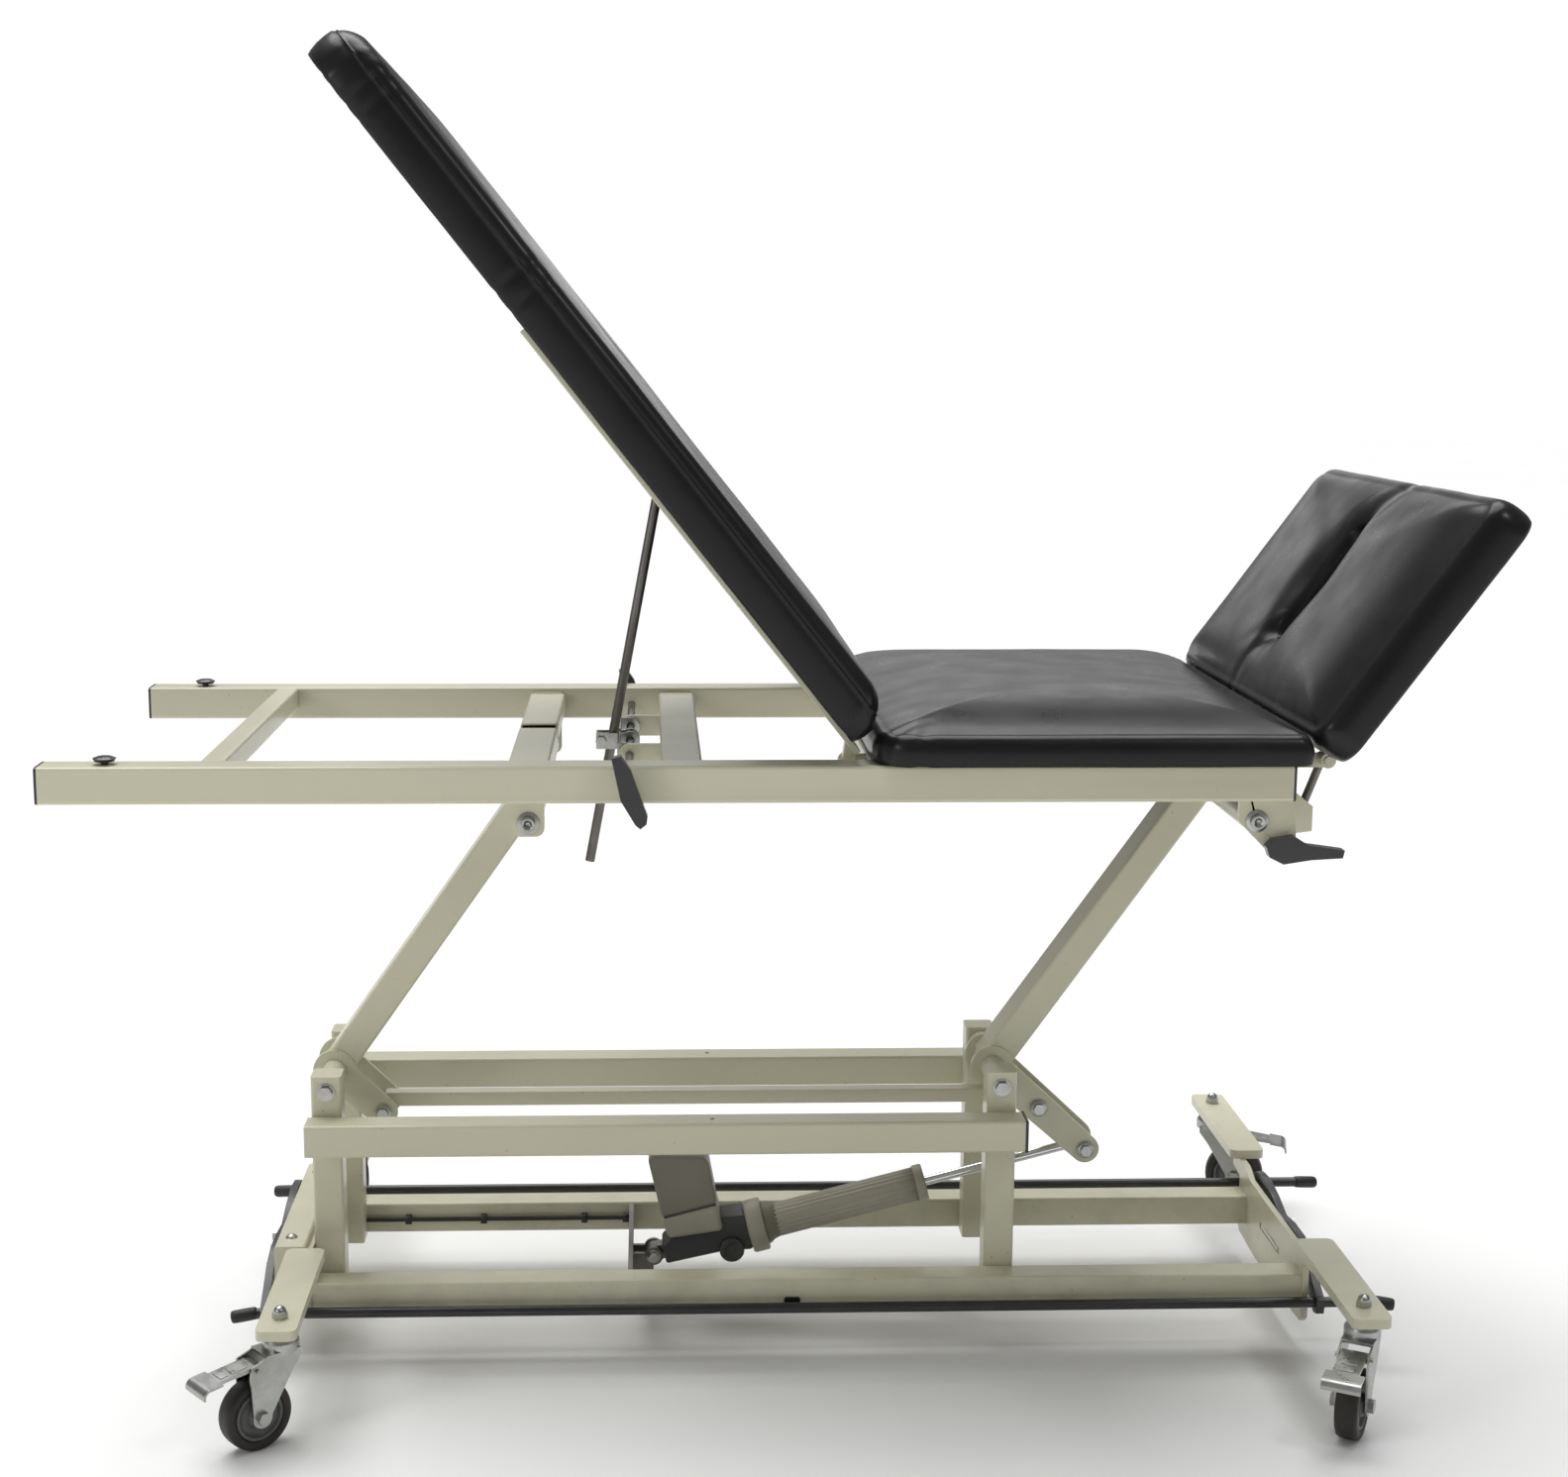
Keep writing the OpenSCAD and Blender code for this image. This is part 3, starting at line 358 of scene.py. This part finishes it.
def bolt(name, centre, axis, body, size=8.0, washer=12.0, kind="hex", mat=None):
    """Washer and head: a hexagon, or a socket cap with its recess. Centre is the face it sits on."""
    mat = mat or ZINC
    place = axes(centre, axis)
    thin = 1.6
    turned(name + "_washer", [(washer, 0.02), (washer, thin - 0.3), (washer - 0.4, thin)], place, mat, body)
    if kind == "hex":
        outline = circle_points(0, 0, size, 0, 300, 5)
        slab(name + "_head", outline, thin, thin + size * 0.62, place, mat, body, 0.5)
    else:
        r, h = size, size * 0.9
        profile = [(r, thin), (r, thin + h - 0.8), (r - 0.8, thin + h), (r * 0.55, thin + h)]
        turned(name + "_head", profile + [(r * 0.5, thin + h * 0.45)], place, mat, body, 32)


# ---- Cushions ----


def rounded_outline(x0, x1, half, r0, r1, nx, ny, nc):
    """Rounded rectangle; corner radius r0 at x0 and r1 at x1. The count of points never changes."""
    points = [(x0 + r0 + (x1 - r1 - x0 - r0) * k / nx, -half) for k in range(nx)]
    points += circle_points(x1 - r1, -half + r1, r1, -90, 0, nc)[:-1]
    points += [(x1, -half + r1 + 2 * (half - r1) * k / ny) for k in range(ny)]
    points += circle_points(x1 - r1, half - r1, r1, 0, 90, nc)[:-1]
    points += [(x1 - r1 + (x0 + r0 - x1 + r1) * k / nx, half) for k in range(nx)]
    points += circle_points(x0 + r0, half - r0, r0, 90, 180, nc)[:-1]
    points += [(x0, half - r0 - 2 * (half - r0) * k / ny) for k in range(ny)]
    points += circle_points(x0 + r0, -half + r0, r0, 180, 270, nc)[:-1]
    return points


# How a crease fades along its length, and the swelling on both sides of its groove
CREASE_REACH = 3
CREASE_FADE = 0.75
SHOULDER_OFFSET = 1.9
SHOULDER_RISE = 0.14


def dent(point, creases):
    """How far the cover is drawn in at a point: each crease is (x0, y0, x1, y1, depth, width) in millimetres."""
    total = 0.0
    for x0, y0, x1, y1, depth, width in creases:
        dx, dy = x1 - x0, y1 - y0
        t = ((point[0] - x0) * dx + (point[1] - y0) * dy) / (dx * dx + dy * dy)
        end = min(max(t, 0.0), 1.0)
        off = math.hypot(point[0] - x0 - dx * end, point[1] - y0 - dy * end)
        if off < width * CREASE_REACH:
            fade = 1.0 - CREASE_FADE * end
            groove = math.exp(-((off / width) ** 2))
            shoulders = math.exp(-(((off - SHOULDER_OFFSET * width) / width) ** 2))
            total += depth * fade * (groove - SHOULDER_RISE * shoulders)
    return total


def ripple(p, seed, size, scale):
    """Smooth noise at a place in millimetres, up to size either way."""
    return noise.noise(Vector((p[0] * scale + seed, p[1] * scale - seed, p[2] * scale))) * size


def sculpt(bm, creases, seed):
    """Draws the creases in and adds the slow waves of a stretched cover over foam."""
    bm.normal_update()
    moves = []
    for v in bm.verts:
        p = v.co / MM
        push = ripple(p, seed, 0.8, 0.008) + ripple(p, seed + 7, 0.18, 0.026) - dent(p, creases)
        moves.append(v.normal * push * MM)
    for v, move in zip(bm.verts, moves):
        v.co += move


def crowned(distance, rise, length):
    """Height of a stuffed face at a distance in from its edge: steep at first, then level."""
    return rise * (1 - math.exp(-distance / length))


RING_STEP = 5.0
POINT_GAP = 4.6
POINTS_ACROSS = 130
POINTS_PER_CORNER = 14
SMALLEST_CORNER = 1.5


def pad_piece(name, node, body, place, x0, x1, half, radii, levels, crown, creases, seed):
    """Closed cushion. Levels go up the side as (height, inset at x0, inset at x1, inset at the sides)."""
    nx, ny, nc = int((x1 - x0) / POINT_GAP), POINTS_ACROSS, POINTS_PER_CORNER
    rings = list(levels)
    height, a, b, c = levels[-1]
    inset = RING_STEP * 0.5
    reach = min(half - c, (x1 - b - x0 - a) / 2)
    while reach - inset > RING_STEP * 0.6:
        rings.append((height + crowned(inset, *crown), a + inset, b + inset, c + inset))
        inset += RING_STEP
    bm = bmesh.new()
    rows = []
    for height, a, b, c in rings:
        r0, r1 = (max(r - c, SMALLEST_CORNER) for r in radii)
        outline = rounded_outline(x0 + a, x1 - b, half - c, r0, r1, nx, ny, nc)
        rows.append([bm.verts.new((x * MM, y * MM, height * MM)) for x, y in outline])
    count = len(rows[0])
    join_rings(bm, zip(rows, rows[1:]), count)
    # The middle is closed by strips between the points that face each other across it
    last = rows[-1]
    if reach == half - c:
        turn, first, final = 2 * nx + ny + 2 * nc, -(ny // 2) - nc, nx + nc + ny // 2
    else:
        turn, first, final = nx, nx // 2, nx + 2 * nc + ny + (nx + 1) // 2
    for i in range(first, final):
        ring = [last[j % count] for j in (i, i + 1, turn - i - 1, turn - i)]
        face = [v for n, v in enumerate(ring) if v not in ring[:n]]
        if len(face) > 2 and bm.faces.get(face) is None:
            bm.faces.new(face)
    bm.faces.new(list(reversed(rows[0])))
    finish_pad(name, bm, creases, seed, node, body, place)


def join_rings(bm, pairs, count):
    """Quads between each pair of neighbouring rings of points."""
    for low, high in pairs:
        for k in range(count):
            j = (k + 1) % count
            bm.faces.new((low[k], low[j], high[j], high[k]))


def finish_pad(name, bm, creases, seed, node, body, place):
    """Sculpts a cushion's mesh, puts it in place and hands it over for the frame's plain cushion."""
    bmesh.ops.recalc_face_normals(bm, faces=bm.faces)
    sculpt(bm, creases, seed)
    mesh = bpy.data.meshes.new(name)
    bm.to_mesh(mesh)
    bm.free()
    mesh.transform(place)
    mesh.polygons.foreach_set("use_smooth", [True] * len(mesh.polygons))
    mesh.materials.append(VINYL)
    obj = bpy.data.objects.new(name, mesh)
    bpy.context.scene.collection.objects.link(obj)
    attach(obj, body)
    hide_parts(node)


def rolled_levels(bottom, top, radius, slant0=(0, 0), slant1=(0, 0)):
    """Side of a soft-edged cushion: pulled in at the staples, then one wide roll up to the top."""
    under, steps = 38, 15
    lift = math.sin(math.radians(under))
    levels = []
    for k in range(steps + 1):
        a = math.radians(-under + (90 + under) * k / steps)
        rise = (math.sin(a) + lift) / (1 + lift)
        levels.append((bottom + (top - bottom) * rise, radius * (1 - math.cos(a)) ** 1.15))
    return slanted(levels, top, slant0, slant1)


def slanted(levels, top, slant0, slant1):
    """Leans the two ends in: a slant is (height where it starts, inset at the top)."""
    out = []
    for height, inset in levels:
        ends = [s * (max(height - start, 0.0) / (top - start)) ** 1.25 for start, s in (slant0, slant1)]
        out.append((height, inset + ends[0], inset + ends[1], inset))
    return out


def edge_levels(bottom, seam, top, radius, slant0, slant1):
    """Side of a box cushion: pulled in at the staples, a full band, the seam's ridge and a rounded shoulder."""
    ridge, levels = -0.55, []
    for t in (0.0, 0.15, 0.4, 0.7, 0.92):
        bulge = 3.2 * (1 - t) ** 4 - 1.0 * math.sin(math.pi * t)
        levels.append((bottom + (seam - bottom - 2.5) * t, bulge))
    levels += [(seam - 1.6, 1.0), (seam - 0.8, 0.2), (seam, ridge), (seam + 0.8, 0.2), (seam + 1.6, 1.1)]
    start = seam + 3.0
    for k in range(8):
        a = math.radians(90 * k / 7)
        levels.append((start + (top - start) * math.sin(a), 0.6 + radius * (1 - math.cos(a))))
    return slanted(levels, top, slant0, slant1)


# Long section: flat from its hinge (x = 0) to its tip (x = -974) in its own place
long_creases = [
    (-946, -346, -930, -312, 1.5, 4.0),
    (-925, -347, -914, -316, 1.4, 4.0),
    (-901, -347, -894, -318, 1.1, 4.0),
    (-880, -347, -874, -322, 0.8, 4.0),
    (-655, -347, -646, -314, 1.2, 5.0),
    (-628, -347, -623, -320, 0.9, 4.5),
    (-955, 340, -932, 306, 1.3, 5.0),
    (-700, 347, -690, 312, 1.0, 6.0),
    (-976, -180, -946, -176, 1.1, 6.0),
    (-976, 150, -948, 158, 1.0, 6.0),
    (-40, -345, -70, -310, 1.4, 6.0),
    (-40, 345, -72, 312, 1.4, 6.0),
]
pad_piece(
    "long_pad", "long_cushion", "long_section", LONG, -973.5, -26, 342.5, (58, 30),
    edge_levels(22.0, 62.0, 80.0, 13.0, (56, 17), (46, 24)), (4.2, 45.0), long_creases, 3.0,
)
mid_creases = [
    (101, -335, 165, -300, 2.0, 6.0),
    (150, -346, 172, -290, 1.6, 7.0),
    (102, 335, 160, 300, 2.0, 6.0),
    (597, -330, 560, -305, 1.8, 5.0),
    (597, 330, 560, 305, 1.8, 5.0),
]
pad_piece(
    "mid_pad", "mid_cushion", "top_frame", Matrix.Identity(4), 101, 596, 343, (48, 20),
    rolled_levels(768.4, 803.0, 13.0, (790, 2), (780, 3)), (30.0, 68.0), mid_creases, 11.0,
)


# Head section: flat from its hinge (x = 0) to its end, with a face opening about SLOT_X
SLOT_X = 180
SLOT_HALF_LENGTH = 58.0
SLOT_HALF_WIDTH = 24
HEAD_BOTTOM, HEAD_TOP = 8.6, 57.0


def slot_outline(grow, count):
    """Points round the face opening, seen from its middle, at even angles."""
    half, x_end = SLOT_HALF_WIDTH + grow, SLOT_HALF_LENGTH
    points = []
    for k in range(count):
        a = 2 * math.pi * k / count
        c, s = math.cos(a), math.sin(a)
        if abs(s) > 1e-9 and abs(c / s) * half <= x_end:
            r = half / abs(s)
        else:
            b = abs(c) * x_end
            r = b + math.sqrt(max(b * b - x_end * x_end + half * half, 0.0))
        points.append((SLOT_X + r * c, r * s))
    return points


def outer_outline(inset, count):
    """The head cushion's rounded rectangle, seen from the face opening's middle, at even angles."""
    x0, x1, half, r = 2.5 + inset, 344.5 - inset, 343.0 - inset, max(31.0 - inset, 6.0)
    points = []
    for k in range(count):
        a = 2 * math.pi * k / count
        c, s = math.cos(a), math.sin(a)
        low, high = 0.0, 600.0
        for _ in range(36):
            mid = (low + high) / 2
            x, y = SLOT_X + mid * c, mid * s
            dx = max(x0 + r - x, x - (x1 - r), 0.0)
            dy = max(abs(y) - (half - r), 0.0)
            if math.hypot(dx, dy) <= r:
                low = mid
            else:
                high = mid
        points.append((SLOT_X + low * c, low * s))
    return points


def head_pad():
    """Head cushion: a ring of foam round the face opening, its cover drawn down into the opening."""
    count, steps = 480, 64
    levels = rolled_levels(HEAD_BOTTOM, HEAD_TOP, 17.0)
    rows = [[(x, y, height) for x, y in outer_outline(inset, count)] for height, _, _, inset in levels]
    outer = outer_outline(levels[-1][3], count)
    lip = slot_outline(1.0, count)
    for k in range(1, steps + 1):
        t = 1 - (1 - k / steps) ** 1.25
        row = []
        for (ox, oy), (rx, ry) in zip(outer, lip):
            x, y = ox + (rx - ox) * t, oy + (ry - oy) * t
            near = math.hypot(x - rx, y - ry)
            crown = crowned(math.hypot(x - ox, y - oy), 19.5, 36.0)
            valley = 14.0 * math.exp(-((near / 27.0) ** 1.6)) + 8.0 * math.exp(-((near / 5.0) ** 2))
            row.append((x, y, HEAD_TOP + crown - valley))
        rows.append(row)
    for grow, height in ((0.4, 46.0), (0.0, 40.0), (0.0, 22.0), (0.8, 10.0), (2.4, HEAD_BOTTOM)):
        rows.append([(x, y, height) for x, y in slot_outline(grow, count)])
    bm = bmesh.new()
    grid = [[bm.verts.new((x * MM, y * MM, z * MM)) for x, y, z in row] for row in rows]
    join_rings(bm, zip(grid, grid[1:] + grid[:1]), count)
    creases = [
        (256, 2, 350, -34, 4.6, 15.0),
        (262, -20, 306, -34, 2.6, 9.0),
        (100, 14, 6, 66, 3.0, 11.0),
        (102, 20, 66, 88, 2.0, 10.0),
        (240, -60, 325, -250, 1.2, 20.0),
        (240, 60, 325, 250, 1.2, 20.0),
    ]
    finish_pad("head_pad", bm, creases, 23.0, "head_cushion", "head_section", HEAD)


head_pad()

# ---- Base details ----

for side, word in SIDES:
    place = axes((0.3098, side * 0.135, 0.276), (1, 0, 0))
    low, high = (-20.3, -20.3, 0.1), (20.3, 20.3, 4.2)
    box_piece(f"tube_cap_{word}", low, high, place, BLACK_PLASTIC, "base", 1.6)
    for x, tag in ((-0.2853, "foot"), (0.5447, "head")):
        place = (x, side * 0.2802, 0.6947)
        bolt(f"bracket_bolt_{tag}_{word}", place, (0, side, 0), "top_frame", 8.5, 13.0, "socket")

for side, word in SIDES:
    front = Matrix.Translation((0.026, side * 0.1552, 0.0757)) @ Matrix.Rotation(math.radians(90), 4, "X")
    plate = [(-10, -19.5), (10, -19.5), (10, -4), (8, -2), (-8, -2), (-10, -4)]
    z0 = 0.0 if side < 0 else -2.5
    slab(f"saddle_{word}", plate, z0, z0 + 2.5, front, BLACK_PLASTIC, "base", 0.6)

# ---- Linkage bolts ----

ARM_ANGLE, CRANK_TURN = 54.9, 97.1
CRANK = math.radians(ARM_ANGLE - CRANK_TURN)
PIVOT_Z = 0.3265
TIE_RADIUS, EYE_RADIUS = 81, 164
for pivot, tag, radii in ((-0.544, "foot", (TIE_RADIUS,)), (0.286, "head", (TIE_RADIUS, EYE_RADIUS))):
    body = f"lift_arm_{tag}_body"
    for radius in radii:
        x = pivot + radius * MM * math.cos(CRANK)
        z = PIVOT_Z + radius * MM * math.sin(CRANK)
        for side, word in SIDES:
            bolt(f"crank_bolt_{tag}_{radius}_{word}", (x, side * 0.0352, z), (0, side, 0), body, 8.0, 10.5)

# ---- Castors ----

WHEEL_RADIUS = 0.041
TRAIL = 0.035
for name, (x, y, turn) in CASTORS.items():
    spin = math.radians(turn)
    out = Vector((math.cos(spin), math.sin(spin), 0))
    axle = Vector((-math.sin(spin), math.cos(spin), 0))
    centre = Vector((x, y, WHEEL_RADIUS)) + out * TRAIL
    wheel = axes(centre, axle)
    tread = [(29.6, -12.2), (36.5, -13.0), (39.4, -11.9), (40.6, -8.8), (41.0, -4.5), (41.0, 4.5)]
    tread += [(40.6, 8.8), (39.4, 11.9), (36.5, 13.0), (29.6, 12.2), (29.2, 6.0), (29.2, -6.0)]
    tyre = turned(f"tyre_{name}", tread, wheel, TYRE, f"wheel_{name}", 72, closed=False)
    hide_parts(f"castor_wheel_{name}")
    half = [(29.4, 0.0), (29.4, 10.8), (28.2, 12.4), (25.8, 12.4), (25.0, 11.0), (24.6, 8.4), (15.5, 7.6)]
    half += [(14.4, 9.2), (13.2, 12.6), (10.2, 13.2), (9.6, 15.4), (5.2, 15.4)]
    hub = [(r, -h) for r, h in reversed(half)] + half[1:]
    turned(f"hub_{name}", hub, wheel, HUB, f"wheel_{name}", 60, closed=False)
    pedal = Matrix.Translation((x, y, 0)) @ Matrix.Rotation(spin, 4, "Z") @ Matrix.Translation((0.040, 0, 0.098))
    slope = pedal @ Matrix.Rotation(math.radians(7.9), 4, "Y")
    for k, (a, b) in enumerate(((8, 26), (31, 41))):
        outline = [(a, -9), (b, -9), (b, 9), (a, 9)]
        slab(f"pedal_rib_{name}_{k}", outline, 4.2, 6.0, slope, ZINC, f"pedal_{name}", 0.7, 3)

# ---- Actuator ----


def actuator():
    """Gearbox, motor and ribbed tube, drawn in millimetres from the clevis pin along the stroke."""
    body, slot = "actuator", "actuator_plastic"
    along = CLEVIS @ Matrix.Rotation(math.radians(90), 4, "Y")
    upright = CLEVIS @ Matrix.Rotation(math.radians(90), 4, "X")
    eye = circle_points(0, 0, 11, 90, 270, 16) + [(16, -9), (16, 9)]
    first = slab("actuator_eye", eye, -10, 10, upright, STEEL, body, 0.8)
    box_low = [(14, -12), (92, -15), (124, -22), (130, -18), (130, 22), (124, 26), (100, 30), (30, 22), (14, 12)]
    slab("actuator_gearbox", box_low, -24, 24, upright, GEARBOX, body, 3.0, 4)
    boss = axes(CLEVIS @ Vector((0.100, -0.0235, -0.014)), (0, -1, 0))
    turned("actuator_boss", [(16, 0), (16, 5), (14.5, 6.5), (9, 6.5), (8, 5), (3.5, 5)], boss, GEARBOX, body)
    lower = [(24, 22), (96, 14), (97.2, 52), (24.6, 52)]
    upper = [(24.6, 52.6), (97.2, 52.6), (101, 108), (95, 118), (34, 136), (27, 131)]
    slab("actuator_motor_low", lower, -31.5, 31.5, upright, HOUSING_LIGHT, body, 7.0, 5)
    slab("actuator_motor_top", upper, -32, 32, upright, HOUSING, body, 7.0, 5)
    seam = [(26.5, 47), (95.5, 47), (95.5, 58), (26.5, 58)]
    slab("actuator_motor_seam", seam, -29.5, 29.5, upright, GEARBOX, body, 3.0, 2)
    collar = [(24, 126), (32.5, 127), (34, 129.5), (34, 146), (32.5, 148), (22, 149)]
    turned("actuator_collar", collar, along, HOUSING_LIGHT, body, 56)
    flange = [(23, 148), (27, 148.5), (27, 151), (23.5, 156), (21.0, 166)]
    turned("actuator_flange", flange, along, HOUSING, body, 56)
    sides, lobes = 192, 24
    rows = []
    for height in (150, 170, 200, 230, 260, 290, 320, 350):
        row = []
        for k in range(sides):
            a = 2 * math.pi * k / sides
            r = 21.0 + 0.7 * max(math.cos(lobes * a), -0.35)
            row.append((r * math.cos(a) * MM, r * math.sin(a) * MM, height * MM))
        rows.append(row)
    verts = [v for row in rows for v in row]
    faces = ring_faces(len(rows), sides)
    faces += [tuple(range(sides)), tuple((len(rows) - 1) * sides + k for k in range(sides))]
    make("actuator_tube", verts, faces, HOUSING_LIGHT, body, place=along)
    cap = [(20, 349), (23.0, 349.5), (23.5, 351), (23.5, 360), (22.4, 362), (8.0, 362.6), (6.6, 361.6)]
    turned("actuator_end_cap", cap, along, HOUSING_LIGHT, body, 56)
    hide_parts("actuator_body")
    pin = CLEVIS.translation
    for side, word in SIDES:
        bolt(f"clevis_bolt_{word}", pin + Vector((0, side * 0.0177, 0)), (0, side, 0), "base", 7.0, 9.0)


actuator()

# ---- Foot bar ends ----

for side, word in SIDES:
    for x, end, way in ((-632, "foot", -1), (745, "head", 1)):
        turn = math.radians(way * side * 10)
        lean = math.radians(way * 96)
        place = FOOT_BARS @ Matrix.Translation((x * MM, side * 0.172, -0.0205))
        place = place @ Matrix.Rotation(turn, 4, "Z") @ Matrix.Rotation(lean, 4, "Y")
        sleeve = [(6.7, -6), (7.6, -4), (7.9, 2), (7.9, 20), (7.4, 23.5), (5.5, 25.2), (2.0, 25.8)]
        turned(f"bar_sleeve_{end}_{word}", sleeve, place, SHEATH, "foot_bars", 32)

# ---- Stage, light and camera ----


def stage():
    """Pale round floor, far wider than the picture."""
    radius, sides = 30, 96
    mesh = bpy.data.meshes.new("studio_floor")
    angles = [2 * math.pi * k / sides for k in range(sides)]
    ring = [(radius * math.cos(a), radius * math.sin(a), 0.0) for a in angles]
    mesh.from_pydata(ring, [], [tuple(range(sides))])
    floor = bpy.data.objects.new("studio_floor", mesh)
    s = Shader("studio_floor").set(Roughness=0.7, Specular_IOR_Level=0.2)
    s.colour(s.blend(s.noise(0.6), (0.83, 0.83, 0.83), (0.85, 0.85, 0.85)))
    mesh.materials.append(s.mat)
    bpy.context.scene.collection.objects.link(floor)


def hang(name, data, place, way):
    """Puts a light in the scene, shining along way."""
    lamp = bpy.data.objects.new(name, data)
    lamp.location = place
    lamp.rotation_euler = Vector(way).to_track_quat("-Z", "Y").to_euler()
    bpy.context.scene.collection.objects.link(lamp)


def area(name, place, target, size, size_y, power):
    data = bpy.data.lights.new(name, "AREA")
    data.shape = "RECTANGLE"
    data.size, data.size_y = size, size_y
    data.energy = power
    hang(name, data, place, Vector(target) - Vector(place))


def sun(strength, angle, way):
    data = bpy.data.lights.new("overhead", "SUN")
    data.energy = strength
    data.angle = math.radians(angle)
    hang("overhead", data, (0, 0, 0), way)


def camera():
    """The photograph's camera: its angles, place and focal length, solved from the frame's straight edges."""
    yaw, pitch, roll = (math.radians(a) for a in (2.156, 9.812, 0.252))
    position = (-0.1505, -2.8799, 1.2284)
    ahead = Vector((math.sin(yaw) * math.cos(pitch), math.cos(yaw) * math.cos(pitch), -math.sin(pitch)))
    right = Vector((math.cos(yaw), -math.sin(yaw), 0))
    up = right.cross(ahead)
    right, up = right * math.cos(roll) + up * math.sin(roll), up * math.cos(roll) - right * math.sin(roll)
    data = bpy.data.cameras.new("camera")
    wide, tall, focal = 1583.0, 1491.0, 2366.8
    centre_x, centre_y = 741.5, 756.9
    data.sensor_fit = "HORIZONTAL"
    data.sensor_width = 36.0
    data.lens = focal / wide * 36.0
    data.shift_x = (wide / 2 - centre_x) / wide
    data.shift_y = (centre_y - tall / 2) / wide
    data.clip_end = 100
    cam = bpy.data.objects.new("camera", data)
    cam.matrix_world = Matrix.Translation(position) @ Matrix((right, up, -ahead)).transposed().to_4x4()
    bpy.context.scene.collection.objects.link(cam)
    bpy.context.scene.camera = cam


def backdrop(lighting, seen):
    """White world: dim as a light, white where the camera sees it."""
    world = bpy.data.worlds.new("studio")
    world.use_nodes = True
    sky = world.node_tree
    path = sky.nodes.new("ShaderNodeLightPath")
    level = sky.nodes.new("ShaderNodeMapRange")
    level.inputs["To Min"].default_value = lighting
    level.inputs["To Max"].default_value = seen
    sky.links.new(path.outputs["Is Camera Ray"], level.inputs["Value"])
    sky.links.new(level.outputs["Result"], sky.nodes["Background"].inputs["Strength"])
    sky.nodes["Background"].inputs["Color"].default_value = (1, 1, 1, 1)
    bpy.context.scene.world = world
    bpy.context.scene.view_settings.view_transform = "Standard"


stage()
backdrop(0.24, 1.0)
sun(3.3, 58, (0.12, -0.34, -1.0))
area("streak", (1.9, -1.9, 3.3), (0.5, 0, 0.8), 0.5, 0.5, 13)
area("behind", (0.4, 3.4, 1.7), (0, 0, 0.15), 3.2, 0.6, 7)
area("front", (-2.9, -2.3, 1.9), (-0.5, 0, 0.6), 0.9, 0.9, 18)
camera()
